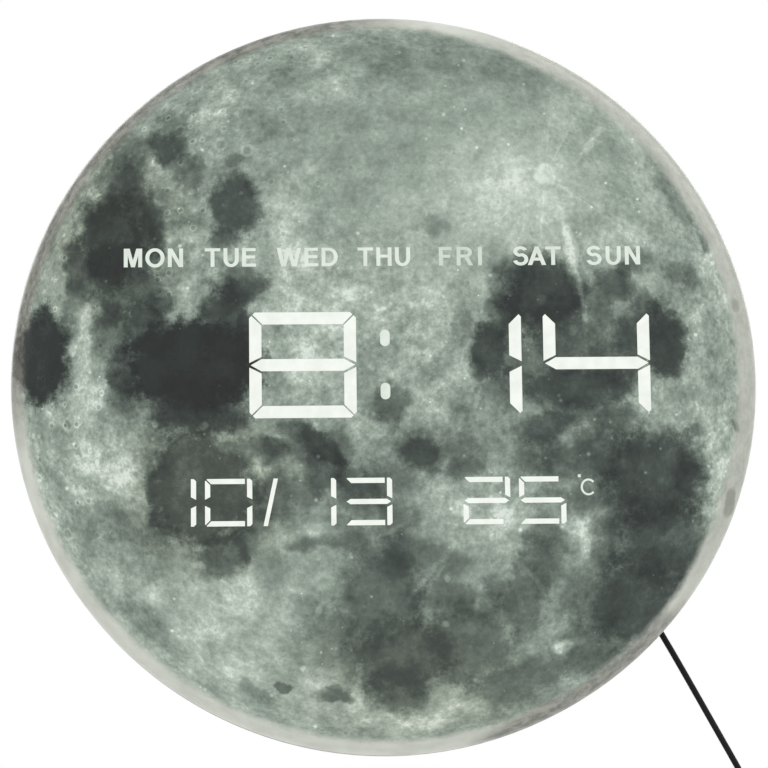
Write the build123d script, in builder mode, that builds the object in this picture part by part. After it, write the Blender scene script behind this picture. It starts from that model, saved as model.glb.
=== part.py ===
from build123d import *
import math
import os

os.makedirs("parts", exist_ok=True)

# A round wall clock with a lit seven-segment face, millimetres.
# X runs to the right seen from the front, Y towards the wall, Z up.
# The origin is the middle of the hanging hole, at the back of the hanger plate.

# Case
disc_radius = 150.0
disc_drop = 85.0
front_depth = 30.0
rim_depth = 17.0
rim_round = 6.5
rim_edge_round = 0.8
panel_wall = 2.5
overrun = 1.0

front_level = -front_depth
panel_back_level = front_level + panel_wall
rim_rear_level = front_level + rim_depth
inner_radius = disc_radius - panel_wall

# Rear cover
cover_wall = 2.0
cover_gap = 0.3
cover_setback = 0.5
bulge_radius = 118.0
bulge_round = 4.0
bulge_root_round = 1.5
flange_rear_level = rim_rear_level - cover_setback
flange_front_level = flange_rear_level - cover_wall
flange_radius = inner_radius - cover_gap
cover_inner_level = -cover_wall

# Screws: one size holds the cover, the boards and the hanger plate
screw_radius = 1.3
screw_clear_radius = 1.6
screw_head_radius = 2.6
screw_head_height = 1.7
screw_socket_width = 0.6
screw_socket_length = 3.2
screw_socket_depth = 0.8
pilot_radius = 1.1
pilot_wall = 0.8
thread_bite = 5.0
boss_radius = 3.5
sunk_head_angle = 45.0
sunk_head_gap = 0.1

cover_screw_count = 8
cover_screw_circle_radius = 139.0
cover_screw_turn = 22.5

# Lit face: rows and columns of figures, from the middle of the disc
time_row = 5.5
time_pitch = 51.7
time_width = 42.9
time_height = 42.9
time_bar = 4.95
time_corner = 2.3
time_mitre_gap = 0.55
time_waist_gap = 0.9
hour_units_x = -33.0
minute_tens_x = 33.4
colon_width = 3.9
colon_height = 6.7
colon_rise = 10.8
colon_round_share = 0.48

small_row = -49.7
small_pitch = 22.3
small_width = 18.8
small_height = 19.0
small_bar = 2.1
small_corner = 0.9
small_mitre_gap = 0.5
small_butt_gap = 0.85
small_waist_gap = 1.2
month_tens_x = -85.2
day_tens_x = -29.5
temperature_tens_x = 39.9
slash_x = -46.2
slash_lean = 2.05
slash_width = 1.75
degree_x = 79.2
degree_row = -43.2
degree_width = 10.4
degree_height = 10.4
degree_round = 1.2

weekday_row = 49.5
weekday_pitch = 30.9
weekday_count = 7
weekday_width = 25.0
weekday_height = 9.6
weekday_round = 1.2
window_gap = 0.02

# Light boxes between the face and the display board
reflector_depth = 6.0
reflector_round = 3.0
reflector_margin = 3.0
board_front_level = panel_back_level + reflector_depth

# Display board and what it carries
board_width = 226.0
board_height = 124.0
board_row = -3.0
board_round = 4.0
board_thickness = 1.6
board_rear_level = board_front_level + board_thickness
board_post_inset = 7.0
board_post_x = board_width / 2 - board_post_inset
board_post_upper = 36.0
board_post_lower = -28.0
board_hole_gap = 0.3
lamp_height = 0.7
time_lamp_length = 3.4
time_lamp_width = 2.6
small_lamp_length = 1.9
small_lamp_width = 1.1
lamp_step_share = 0.22

lead_width = 0.4
lead_thickness = 0.25
lead_reach = 1.3
controller_length = 18.0
controller_width = 7.5
controller_height = 2.3
controller_x = 0.0
controller_row = 18.0
driver_length = 10.0
driver_width = 4.0
driver_height = 1.6
driver_x = 38.0
lead_pitch = 1.27
crystal_length = 11.0
crystal_width = 4.5
crystal_height = 3.6
crystal_x = -22.0
crystal_row = 26.0
buzzer_radius = 6.0
buzzer_height = 8.0
buzzer_hole_radius = 1.0
buzzer_hole_depth = 1.0
buzzer_x = -30.0
buzzer_row = -8.0
capacitor_radius = 3.15
capacitor_height = 7.2
capacitor_base = 6.8
capacitor_base_height = 0.9
capacitor_x = 62.0
capacitor_row = -44.0
capacitor_pitch = 11.0
capacitor_count = 3
sensor_bead_radius = 1.5
sensor_leg_radius = 0.3
sensor_leg_length = 9.0
sensor_leg_spread = 1.0
sensor_x = -18.0
sensor_row = -56.0
socket_width = 7.6
socket_height = 6.0
socket_depth = 6.5
socket_wall = 0.9
socket_x = 84.0
socket_row = -50.0

# Buttons on the back
button_x = -75.0
button_pitch = 17.0
button_radius = 4.0
button_proud = 0.9
button_hole_gap = 0.3
button_edge_round = 0.6
button_flange_radius = 5.3
button_flange_thickness = 1.0
button_rest_gap = 0.2
button_travel = 0.5
button_stem_radius = 2.0
button_stem_length = 0.5
plunger_radius = 1.7
plunger_rise = 0.8
plunger_guide = 0.7
plunger_gap = 0.1
plunger_floor_gap = 0.15
switch_width = 6.0
switch_height = 3.5
button_board_width = 18.0
button_board_length = 84.0
button_board_round = 2.0
button_board_screw_reach = 37.0
button_names = ["set", "up", "down", "alarm"]

button_flange_rear_level = cover_inner_level - button_rest_gap
button_flange_front_level = button_flange_rear_level - button_flange_thickness
plunger_rear_level = button_flange_front_level - button_stem_length
switch_rear_level = plunger_rear_level - plunger_rise
button_board_rear_level = switch_rear_level - switch_height
button_board_front_level = button_board_rear_level - board_thickness

# Ribbon cable from the display board to the button board
ribbon_width = 10.0
ribbon_thickness = 1.0
ribbon_rise = 3.6
ribbon_run = 18.0
ribbon_round = 1.6
ribbon_row = -48.0

# Cell compartment with a cap that turns to open
cell_x = 62.0
cell_row = -8.0
cell_radius = 10.0
cell_thickness = 3.2
cell_round = 0.4
cell_side_gap = 0.3
cap_radius = 13.8
cap_gap = 0.25
cap_thickness = 1.8
cap_skirt_wall = 1.4
cap_slot_length = 13.0
cap_slot_width = 1.8
cap_slot_depth = 0.9
cap_turn = 40.0
lug_reach = 1.6
lug_thickness = 1.2
lug_gap = 0.3
lug_angle = 28.0
lug_count = 3
holder_wall = 1.4
holder_ring_wall = 1.4
holder_floor = 1.2
holder_depth = 7.6
contact_width = 5.0
contact_length = 14.0
contact_thickness = 0.4

# Hanger plate, its pocket and the wall pads
keyhole_radius = 4.5
keyhole_slot_width = 4.4
keyhole_slot_rise = 8.0
hanger_width = 44.0
hanger_height = 34.0
hanger_rise = 3.0
hanger_thickness = 1.2
hanger_round = 3.0
hanger_gap = 0.2
hanger_hole_x = 17.0
hanger_hole_row = 12.0
hanger_seat = 2.0
tray_lip = 3.0
pocket_width = 14.0
pocket_height = 24.0
pocket_rise = 4.0
pocket_depth = 6.8
pocket_wall = 1.6
pad_radius = 6.0
pad_thickness = 2.0
pad_sunk = 0.5
pad_gap = 0.2
pad_edge_round = 0.5
pad_circle_radius = 100.0
pad_count = 4
pad_turn = 45.0

# Air slots
vent_width = 40.0
vent_height = 2.4
vent_pitch = 5.2
vent_rows = 6
vent_middle = -78.0

# Lead: exit, strain relief, route and plug
cord_radius = 1.25
cord_diameter = 2 * cord_radius
cord_level = -8.5
cord_exit_angle = -40.5
relief_neck_radius = 2.6
relief_neck_gap = 0.15
relief_collar_radius = 4.0
relief_collar_thickness = 1.6
relief_seat_gap = 0.3
relief_root_radius = 3.3
relief_tip_radius = 2.1
relief_length = 14.0
relief_ring_count = 3
relief_ring_width = 1.0
relief_ring_depth = 0.5
floor_drop = 205.0
wire_radius = 0.8
wire_spread = 2.0
wire_lead_in = 5.0
wire_bend = 3.0

coil_outer_radius = 19.5
coil_pitch = 3.0
coil_layer_pitch = 3.0
coil_layers = 4
coil_layer_quarters = 14
coil_lift = 0.9
coil_start_x = 105.5
tie_thickness = 0.6
tie_gap = 0.3
tie_width = 6.0
tie_round = 2.0

plug_width = 15.6
plug_height = 8.0
plug_length = 24.0
plug_round = 2.2
plug_grip_count = 4
plug_grip_width = 1.0
plug_grip_depth = 0.4
plug_grip_pitch = 2.4
plug_nose = 5.0
shell_width = 12.0
shell_height = 4.5
shell_length = 12.0
shell_wall = 0.3
shell_sunk = 3.0
shell_window = 2.2
shell_window_x = 2.6
tongue_height = 1.9
tongue_gap = 0.2
tongue_setback = 0.6

# Places worked out from the sizes above
disc_middle = Plane.XY.offset(-disc_drop)
disc_axis = Axis((0, 0, -disc_drop), (0, 1, 0))
hour_tens_x = hour_units_x - time_pitch
minute_units_x = minute_tens_x + time_pitch
month_units_x = month_tens_x + small_pitch
day_units_x = day_tens_x + small_pitch
temperature_units_x = temperature_tens_x + small_pitch


def facing(level):
    """The plane across the disc at one depth, from which an extrusion runs towards the front."""
    return Plane(origin=(0, level, -disc_drop), x_dir=(1, 0, 0), z_dir=(0, -1, 0))


def save(part, label):
    """Names a finished piece and writes it."""
    part.part.label = label
    export_step(part.part, f"parts/{label}.step")


def bars(width, height, bar, corner, mitre_gap, waist_gap, butt_gap=None):
    """The seven bars of a figure as outlines, middle at zero; with butt_gap the right side is square."""
    a = width / 2
    b = height / 2
    step = mitre_gap / math.sqrt(2)
    mitred_end = [
        (-a + bar + step, b - bar),
        (-a + (corner + step) / 2, b - (corner - step) / 2),
        (-a + corner, b),
    ]
    mitred_upright = [
        (-a, waist_gap),
        (-a, b - corner),
        (-a + (corner - step) / 2, b - (corner + step) / 2),
        (-a + bar, b - bar - step),
        (-a + bar, bar / 2 + waist_gap),
    ]
    if butt_gap is None:
        far_end = [(-x, y) for x, y in reversed(mitred_end)]
        right_upright = [(-x, y) for x, y in mitred_upright]
    else:
        far_end = [(a - bar - butt_gap, b), (a - bar - butt_gap, b - bar)]
        right_upright = [
            (a, waist_gap),
            (a, b - corner),
            (a - corner, b),
            (a - bar, b),
            (a - bar, bar / 2 + waist_gap),
        ]
    middle = [
        (-a + mitre_gap, 0),
        (-a + bar, bar / 2),
        (a - bar, bar / 2),
        (a - mitre_gap, 0),
        (a - bar, -bar / 2),
        (-a + bar, -bar / 2),
    ]
    top = mitred_end + far_end
    upper = [top, mitred_upright, right_upright]
    lower = [[(x, -y) for x, y in outline] for outline in upper]
    return upper + [middle] + lower


time_bars = bars(time_width, time_height, time_bar, time_corner, time_mitre_gap, time_waist_gap)
small_bars = bars(
    small_width, small_height, small_bar, small_corner, small_mitre_gap, small_waist_gap, small_butt_gap
)
slash_bar = [
    (slash_lean - slash_width / 2, small_height / 2),
    (slash_lean + slash_width / 2, small_height / 2),
    (slash_width / 2 - slash_lean, -small_height / 2),
    (-slash_width / 2 - slash_lean, -small_height / 2),
]
time_figures = {
    "hour_tens": hour_tens_x,
    "hour_units": hour_units_x,
    "minute_tens": minute_tens_x,
    "minute_units": minute_units_x,
}
small_figures = {
    "month_tens": month_tens_x,
    "month_units": month_units_x,
    "day_tens": day_tens_x,
    "day_units": day_units_x,
    "temperature_tens": temperature_tens_x,
    "temperature_units": temperature_units_x,
}


def draw_outlines(outlines, places, shrink):
    """Draws closed outlines at each place, drawn in by shrink."""
    with Locations(*places):
        for outline in outlines:
            Polygon(*outline, align=None)
    if shrink > 0:
        offset(amount=-shrink, kind=Kind.INTERSECTION)


def draw_colon(shrink=0):
    """The two dots between the hours and the minutes."""
    with Locations((0, time_row + colon_rise), (0, time_row - colon_rise)):
        RectangleRounded(
            colon_width - 2 * shrink, colon_height - 2 * shrink, (colon_width - 2 * shrink) * colon_round_share
        )


def draw_weekdays(shrink=0):
    """One window for each day's letters."""
    with Locations((0, weekday_row)):
        with GridLocations(weekday_pitch, weekday_pitch, weekday_count, 1):
            RectangleRounded(weekday_width - 2 * shrink, weekday_height - 2 * shrink, weekday_round)


def draw_degree(shrink=0):
    """The window of the degree sign and its letter."""
    with Locations((degree_x, degree_row)):
        RectangleRounded(degree_width - 2 * shrink, degree_height - 2 * shrink, degree_round)


time_places = [(x, time_row) for x in time_figures.values()]
small_places = [(x, small_row) for x in small_figures.values()]

# Face panel: a shallow dish with a rounded rim, holed for the figures
cover_screw_places = PolarLocations(cover_screw_circle_radius, cover_screw_count, cover_screw_turn)
board_post_places = [
    (x, row) for x in (-board_post_x, 0, board_post_x) for row in (board_post_upper, board_post_lower)
]
cover_post_depth = flange_front_level - panel_back_level
cover_pilot_depth = cover_post_depth - pilot_wall
board_pilot_depth = reflector_depth - pilot_wall
with BuildPart() as face_panel:
    with BuildSketch(disc_middle) as rim_profile:
        with BuildLine():
            rim_centre = (disc_radius - rim_round, front_level + rim_round)
            Line((0, front_level), (disc_radius - rim_round, front_level))
            CenterArc(rim_centre, rim_round, -90, 90)
            Line((disc_radius, front_level + rim_round), (disc_radius, rim_rear_level))
            Line((disc_radius, rim_rear_level), (inner_radius, rim_rear_level))
            Line((inner_radius, rim_rear_level), (inner_radius, front_level + rim_round))
            CenterArc(rim_centre, rim_round - panel_wall, 0, -90)
            Line((disc_radius - rim_round, panel_back_level), (0, panel_back_level))
            Line((0, panel_back_level), (0, front_level))
        make_face()
        fillet(rim_profile.vertices().group_by(Axis.Y)[-1], radius=rim_edge_round)
    revolve(axis=disc_axis)
    with BuildSketch(facing(flange_front_level)):
        with cover_screw_places:
            Circle(boss_radius)
    extrude(amount=cover_post_depth + panel_wall / 2)
    with BuildSketch(facing(board_front_level)):
        with Locations(*board_post_places):
            Circle(boss_radius)
    extrude(amount=reflector_depth + panel_wall / 2)
    with BuildSketch(facing(flange_front_level)):
        with cover_screw_places:
            Circle(pilot_radius)
    extrude(amount=cover_pilot_depth, mode=Mode.SUBTRACT)
    with BuildSketch(facing(board_front_level)):
        with Locations(*board_post_places):
            Circle(pilot_radius)
    extrude(amount=board_pilot_depth, mode=Mode.SUBTRACT)
    with BuildSketch(facing(panel_back_level + overrun)):
        draw_outlines(time_bars, time_places, 0)
        draw_outlines(small_bars, small_places, 0)
        draw_outlines([slash_bar], [(slash_x, small_row)], 0)
        draw_colon()
        draw_weekdays()
        draw_degree()
    extrude(amount=panel_wall + 2 * overrun, mode=Mode.SUBTRACT)
save(face_panel, "face_panel")


def save_windows(label, outlines, place):
    """The milky light guides of one figure, one solid for each bar."""
    with BuildPart() as windows:
        with BuildSketch(facing(panel_back_level)):
            draw_outlines(outlines, [place], window_gap)
        extrude(amount=panel_wall)
    save(windows, label)


for figure, figure_x in time_figures.items():
    save_windows(f"{figure}_windows", time_bars, (figure_x, time_row))
for figure, figure_x in small_figures.items():
    save_windows(f"{figure}_windows", small_bars, (figure_x, small_row))
save_windows("slash_window", [slash_bar], (slash_x, small_row))

with BuildPart() as colon_windows:
    with BuildSketch(facing(panel_back_level)):
        draw_colon(window_gap)
    extrude(amount=panel_wall)
save(colon_windows, "colon_windows")

with BuildPart() as weekday_windows:
    with BuildSketch(facing(panel_back_level)):
        draw_weekdays(window_gap)
    extrude(amount=panel_wall)
save(weekday_windows, "weekday_windows")

with BuildPart() as degree_window:
    with BuildSketch(facing(panel_back_level)):
        draw_degree(window_gap)
    extrude(amount=panel_wall)
save(degree_window, "degree_window")

# Light boxes: opaque blocks with one cell behind each window
time_block_width = minute_units_x - hour_tens_x + time_width + 2 * reflector_margin
time_block_x = (minute_units_x + hour_tens_x) / 2
small_block_left = month_tens_x - small_width / 2 - reflector_margin
small_block_right = degree_x + degree_width / 2 + reflector_margin
weekday_block_width = weekday_pitch * (weekday_count - 1) + weekday_width + 2 * reflector_margin

with BuildPart() as time_reflector:
    with BuildSketch(facing(board_front_level)):
        with Locations((time_block_x, time_row)):
            RectangleRounded(time_block_width, time_height + 2 * reflector_margin, reflector_round)
    extrude(amount=reflector_depth)
    with BuildSketch(facing(board_front_level + overrun)):
        draw_outlines(time_bars, time_places, 0)
        draw_colon()
    extrude(amount=reflector_depth + 2 * overrun, mode=Mode.SUBTRACT)
save(time_reflector, "time_reflector")

with BuildPart() as calendar_reflector:
    with BuildSketch(facing(board_front_level)):
        with Locations(((small_block_left + small_block_right) / 2, small_row)):
            RectangleRounded(
                small_block_right - small_block_left, small_height + 2 * reflector_margin, reflector_round
            )
    extrude(amount=reflector_depth)
    with BuildSketch(facing(board_front_level + overrun)):
        draw_outlines(small_bars, small_places, 0)
        draw_outlines([slash_bar], [(slash_x, small_row)], 0)
        draw_degree()
    extrude(amount=reflector_depth + 2 * overrun, mode=Mode.SUBTRACT)
save(calendar_reflector, "calendar_reflector")

with BuildPart() as weekday_reflector:
    with BuildSketch(facing(board_front_level)):
        with Locations((0, weekday_row)):
            RectangleRounded(weekday_block_width, weekday_height + 2 * reflector_margin, reflector_round)
    extrude(amount=reflector_depth)
    with BuildSketch(facing(board_front_level + overrun)):
        draw_weekdays()
    extrude(amount=reflector_depth + 2 * overrun, mode=Mode.SUBTRACT)
save(weekday_reflector, "weekday_reflector")

# Display board
with BuildPart() as display_board:
    with BuildSketch(facing(board_rear_level)):
        with Locations((0, board_row)):
            RectangleRounded(board_width, board_height, board_round)
        with Locations(*board_post_places):
            Circle(screw_radius + board_hole_gap, mode=Mode.SUBTRACT)
    extrude(amount=board_thickness)
save(display_board, "display_board")


def lamp_places(outline, place, step_share):
    """Middles of the lamps behind one bar, and whether the bar stands up."""
    xs = [x for x, y in outline]
    ys = [y for x, y in outline]
    middle_x = place[0] + (min(xs) + max(xs)) / 2
    middle_y = place[1] + (min(ys) + max(ys)) / 2
    length_x = max(xs) - min(xs)
    length_y = max(ys) - min(ys)
    upright = length_y > length_x
    step_x = 0 if upright else length_x * step_share
    step_y = length_y * step_share if upright else 0
    return [(middle_x + side * step_x, middle_y + side * step_y) for side in (-1, 1)], upright


def draw_lamps(outlines, places, length, width, step_share):
    """The lamps behind every bar of the figures at these places."""
    for place in places:
        for outline in outlines:
            spots, upright = lamp_places(outline, place, step_share)
            with Locations(*spots):
                if upright:
                    Rectangle(width, length)
                else:
                    Rectangle(length, width)


with BuildPart() as time_lamps:
    with BuildSketch(facing(board_front_level)):
        draw_lamps(time_bars, time_places, time_lamp_length, time_lamp_width, lamp_step_share)
        with Locations((0, time_row + colon_rise), (0, time_row - colon_rise)):
            Rectangle(time_lamp_width, time_lamp_length)
    extrude(amount=lamp_height)
save(time_lamps, "time_lamps")

with BuildPart() as calendar_lamps:
    with BuildSketch(facing(board_front_level)):
        draw_lamps(small_bars, small_places, small_lamp_length, small_lamp_width, 0)
        with Locations((degree_x, degree_row)):
            Rectangle(time_lamp_length, time_lamp_width)
        with Locations((slash_x, small_row)):
            Rectangle(small_lamp_width, small_lamp_width)
    extrude(amount=lamp_height)
save(calendar_lamps, "calendar_lamps")

with BuildPart() as weekday_lamps:
    with BuildSketch(facing(board_front_level)):
        with Locations((0, weekday_row)):
            with GridLocations(weekday_pitch, weekday_pitch, weekday_count, 1):
                with GridLocations(weekday_width / 2, weekday_width / 2, 2, 1):
                    Rectangle(time_lamp_length, time_lamp_width)
    extrude(amount=lamp_height)
save(weekday_lamps, "weekday_lamps")


def save_chips(label, places, length, width, height):
    """Chips with a row of leads along each long side, standing on the rear of the board."""
    lead_count = int(length / lead_pitch)
    with BuildPart() as chips:
        with BuildSketch(facing(board_rear_level + height)):
            with Locations(*places):
                Rectangle(length, width)
        extrude(amount=height)
        with BuildSketch(facing(board_rear_level + lead_thickness)):
            with Locations(*places):
                with GridLocations(lead_pitch, lead_pitch, lead_count, 1):
                    Rectangle(lead_width, width + 2 * lead_reach)
        extrude(amount=lead_thickness)
    save(chips, label)


driver_places = [(-driver_x, controller_row), (driver_x, controller_row)]
save_chips(
    "controller_chip", [(controller_x, controller_row)], controller_length, controller_width, controller_height
)
save_chips("driver_chips", driver_places, driver_length, driver_width, driver_height)

with BuildPart() as clock_crystal:
    with BuildSketch(facing(board_rear_level + crystal_height)):
        with Locations((crystal_x, crystal_row)):
            SlotOverall(crystal_length, crystal_width)
    extrude(amount=crystal_height)
save(clock_crystal, "clock_crystal")

with BuildPart() as buzzer:
    with BuildSketch(facing(board_rear_level + buzzer_height)):
        with Locations((buzzer_x, buzzer_row)):
            Circle(buzzer_radius)
    extrude(amount=buzzer_height)
    with BuildSketch(facing(board_rear_level + buzzer_height)):
        with Locations((buzzer_x, buzzer_row)):
            Circle(buzzer_hole_radius)
    extrude(amount=buzzer_hole_depth, mode=Mode.SUBTRACT)
save(buzzer, "buzzer")

with BuildPart() as capacitors:
    with BuildSketch(facing(board_rear_level + capacitor_base_height)):
        with Locations((capacitor_x, capacitor_row)):
            with GridLocations(capacitor_pitch, capacitor_pitch, capacitor_count, 1):
                Rectangle(capacitor_base, capacitor_base)
    extrude(amount=capacitor_base_height)
    with BuildSketch(facing(board_rear_level + capacitor_height)):
        with Locations((capacitor_x, capacitor_row)):
            with GridLocations(capacitor_pitch, capacitor_pitch, capacitor_count, 1):
                Circle(capacitor_radius)
    extrude(amount=capacitor_height)
save(capacitors, "capacitors")

with BuildPart() as temperature_sensor:
    with BuildSketch(facing(board_rear_level + sensor_leg_length)):
        with Locations((sensor_x - sensor_leg_spread, sensor_row), (sensor_x + sensor_leg_spread, sensor_row)):
            Circle(sensor_leg_radius)
    extrude(amount=sensor_leg_length)
    with Locations((sensor_x, board_rear_level + sensor_leg_length, sensor_row - disc_drop)):
        Sphere(sensor_bead_radius)
save(temperature_sensor, "temperature_sensor")

with BuildPart() as wire_socket:
    with BuildSketch(facing(board_rear_level + socket_depth)):
        with Locations((socket_x, socket_row)):
            Rectangle(socket_width, socket_height)
    extrude(amount=socket_depth)
    with BuildSketch(facing(board_rear_level + socket_depth)):
        with Locations((socket_x, socket_row)):
            Rectangle(socket_width - 2 * socket_wall, socket_height - 2 * socket_wall)
    extrude(amount=socket_depth - socket_wall, mode=Mode.SUBTRACT)
save(wire_socket, "wire_socket")

# Rear cover: a flange inside the rim and a flat bulge that stands off the wall, with a hole for the hanger
button_middle = (len(button_names) - 1) / 2
button_places = [(button_x, (button_middle - index) * button_pitch) for index in range(len(button_names))]
button_board_screw_places = [(button_x, -button_board_screw_reach), (button_x, button_board_screw_reach)]
hanger_hole_places = [
    (x, disc_drop + hanger_rise + row)
    for x in (-hanger_hole_x, hanger_hole_x)
    for row in (-hanger_hole_row, hanger_hole_row)
]
hanger_seat_level = -hanger_thickness
hanger_seat_front_level = hanger_seat_level - hanger_seat
hanger_post_front_level = hanger_seat_front_level - thread_bite
pocket_front_level = hanger_seat_level - pocket_depth
button_post_depth = cover_inner_level - button_board_rear_level
pad_places = PolarLocations(pad_circle_radius, pad_count, pad_turn)
button_hole_radius = button_radius + button_hole_gap
cap_hole_radius = cap_radius + cap_gap
lug_radius = cap_radius + lug_reach
lug_hole_radius = lug_radius + cap_gap
relief_out = Vector(
    math.cos(math.radians(cord_exit_angle)), 0, math.sin(math.radians(cord_exit_angle))
)
disc_centre = Vector(0, 0, -disc_drop)
exit_point = disc_centre + relief_out * bulge_radius + Vector(0, cord_level, 0)
exit_plane = Plane(origin=exit_point, x_dir=(0, 1, 0), z_dir=relief_out)


def lug_wedges(radius, middle_turn):
    """Wedges of the cap's lugs, or of the notches that let them through."""
    half_width = radius * math.sin(math.radians(lug_angle / 2))
    reach = radius * math.cos(math.radians(lug_angle / 2))
    with BuildSketch() as wedges:
        with PolarLocations(0, lug_count, middle_turn):
            with BuildLine():
                Line((0, 0), (reach, -half_width))
                ThreePointArc((reach, -half_width), (radius, 0), (reach, half_width))
                Line((reach, half_width), (0, 0))
            make_face()
    return wedges.sketch


with BuildPart() as rear_cover:
    with BuildSketch(disc_middle) as cover_profile:
        with BuildLine():
            Polyline(
                (0, 0),
                (bulge_radius, 0),
                (bulge_radius, flange_rear_level),
                (flange_radius, flange_rear_level),
                (flange_radius, flange_front_level),
                (bulge_radius - cover_wall, flange_front_level),
                (bulge_radius - cover_wall, cover_inner_level),
                (0, cover_inner_level),
                (0, 0),
            )
        make_face()
        side_corners = cover_profile.vertices().filter_by_position(Axis.X, bulge_radius, bulge_radius)
        fillet(side_corners.sort_by(Axis.Y)[-1], radius=bulge_round)
        side_corners = cover_profile.vertices().filter_by_position(Axis.X, bulge_radius, bulge_radius)
        fillet(side_corners.sort_by(Axis.Y)[0], radius=bulge_root_round)
    revolve(axis=disc_axis)
    with BuildSketch(facing(cover_inner_level + cover_wall / 2)):
        with Locations(*button_board_screw_places):
            Circle(boss_radius)
    extrude(amount=button_post_depth + cover_wall / 2)
    with BuildSketch(facing(overrun)):
        with Locations((0, disc_drop + hanger_rise)):
            RectangleRounded(
                hanger_width + 2 * hanger_gap, hanger_height + 2 * hanger_gap, hanger_round + hanger_gap
            )
    extrude(amount=cover_wall + 2 * overrun, mode=Mode.SUBTRACT)
    with BuildSketch(facing(button_board_rear_level + button_post_depth - pilot_wall)):
        with Locations(*button_board_screw_places):
            Circle(pilot_radius)
    extrude(amount=button_post_depth, mode=Mode.SUBTRACT)
    with BuildSketch(facing(overrun)):
        with Locations(*button_places):
            Circle(button_hole_radius)
        with Locations((cell_x, cell_row)):
            Circle(cap_hole_radius)
        with Locations((0, vent_middle)):
            with GridLocations(vent_pitch, vent_pitch, 1, vent_rows):
                SlotOverall(vent_width, vent_height)
    extrude(amount=cover_wall + 2 * overrun, mode=Mode.SUBTRACT)
    with BuildSketch(facing(overrun)):
        with Locations((cell_x, cell_row)):
            add(lug_wedges(lug_hole_radius, -cap_turn))
    extrude(amount=cover_wall + 2 * overrun, mode=Mode.SUBTRACT)
    with BuildSketch(facing(0)):
        with pad_places:
            Circle(pad_radius + pad_gap)
    extrude(amount=pad_sunk, mode=Mode.SUBTRACT)
    with BuildSketch(facing(flange_rear_level + overrun)):
        with cover_screw_places:
            Circle(screw_clear_radius)
    extrude(amount=cover_wall + 2 * overrun, mode=Mode.SUBTRACT)
    with BuildSketch(exit_plane.offset(overrun)):
        Circle(relief_neck_radius + relief_neck_gap)
    extrude(amount=-cover_wall - 2 * overrun, mode=Mode.SUBTRACT)
save(rear_cover, "rear_cover")

# Hanger plate with its keyhole
with BuildPart() as hanger_plate:
    with BuildSketch(facing(0)):
        with Locations((0, disc_drop + hanger_rise)):
            RectangleRounded(hanger_width, hanger_height, hanger_round)
        with Locations((0, disc_drop)):
            Circle(keyhole_radius, mode=Mode.SUBTRACT)
        with Locations((0, disc_drop + keyhole_slot_rise)):
            Circle(keyhole_slot_width / 2, mode=Mode.SUBTRACT)
        with Locations((0, disc_drop + keyhole_slot_rise / 2)):
            Rectangle(keyhole_slot_width, keyhole_slot_rise, mode=Mode.SUBTRACT)
    extrude(amount=hanger_thickness)
    with BuildSketch(facing(0)):
        with Locations(*hanger_hole_places):
            Circle(screw_head_radius + sunk_head_gap)
    extrude(amount=hanger_thickness, taper=sunk_head_angle, mode=Mode.SUBTRACT)
save(hanger_plate, "hanger_plate")

# Moulded tray welded inside the cover's hole: it carries the plate and holds the wall screw's head
with BuildPart() as hanger_tray:
    with BuildSketch(facing(cover_inner_level)):
        with Locations((0, disc_drop + hanger_rise)):
            RectangleRounded(hanger_width + 2 * tray_lip, hanger_height + 2 * tray_lip, hanger_round + tray_lip)
    extrude(amount=cover_inner_level - hanger_seat_front_level)
    with BuildSketch(facing(hanger_seat_level)):
        with Locations((0, disc_drop + hanger_rise)):
            RectangleRounded(hanger_width, hanger_height, hanger_round)
    extrude(amount=hanger_seat)
    with BuildSketch(facing(cover_inner_level)):
        with Locations((0, disc_drop + pocket_rise)):
            Rectangle(pocket_width + 2 * pocket_wall, pocket_height + 2 * pocket_wall)
    extrude(amount=cover_inner_level - pocket_front_level + pocket_wall)
    with BuildSketch(facing(cover_inner_level)):
        with Locations(*hanger_hole_places):
            Circle(boss_radius)
    extrude(amount=cover_inner_level - hanger_post_front_level)
    with BuildSketch(facing(0)):
        with Locations((0, disc_drop + pocket_rise)):
            Rectangle(pocket_width, pocket_height)
    extrude(amount=-pocket_front_level, mode=Mode.SUBTRACT)
    with BuildSketch(facing(0)):
        with Locations(*hanger_hole_places):
            Circle(pilot_radius)
    extrude(amount=-hanger_post_front_level - pilot_wall, mode=Mode.SUBTRACT)
save(hanger_tray, "hanger_tray")

# Rubber pads that keep the clock off the wall
with BuildPart() as wall_pads:
    with BuildSketch(facing(pad_thickness - pad_sunk)):
        with pad_places:
            Circle(pad_radius)
    extrude(amount=pad_thickness)
    fillet(wall_pads.edges().group_by(Axis.Y)[-1], radius=pad_edge_round)
save(wall_pads, "wall_pads")


def screw_set(places, head_level, shank_length, head_rear=True):
    """Screws whose heads stand on head_level; head_rear says that the heads face the wall."""
    out = 1 if head_rear else -1
    with BuildPart() as screws:
        with BuildSketch(facing(head_level)):
            with Locations(*places):
                Circle(screw_radius)
        extrude(amount=out * shank_length)
        with BuildSketch(facing(head_level)):
            with Locations(*places):
                Circle(screw_head_radius)
        extrude(amount=-out * screw_head_height)
        with BuildSketch(facing(head_level + out * screw_head_height)):
            with Locations(*places):
                Rectangle(screw_socket_length, screw_socket_width)
                Rectangle(screw_socket_width, screw_socket_length)
        extrude(amount=out * screw_socket_depth, mode=Mode.SUBTRACT)
    return screws.part


cover_screw_xy = [
    (location.position.X, location.position.Y) for location in cover_screw_places.local_locations
]
with BuildPart() as cover_screws:
    add(screw_set(cover_screw_xy, flange_rear_level, cover_wall + thread_bite))
save(cover_screws, "cover_screws")

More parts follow.
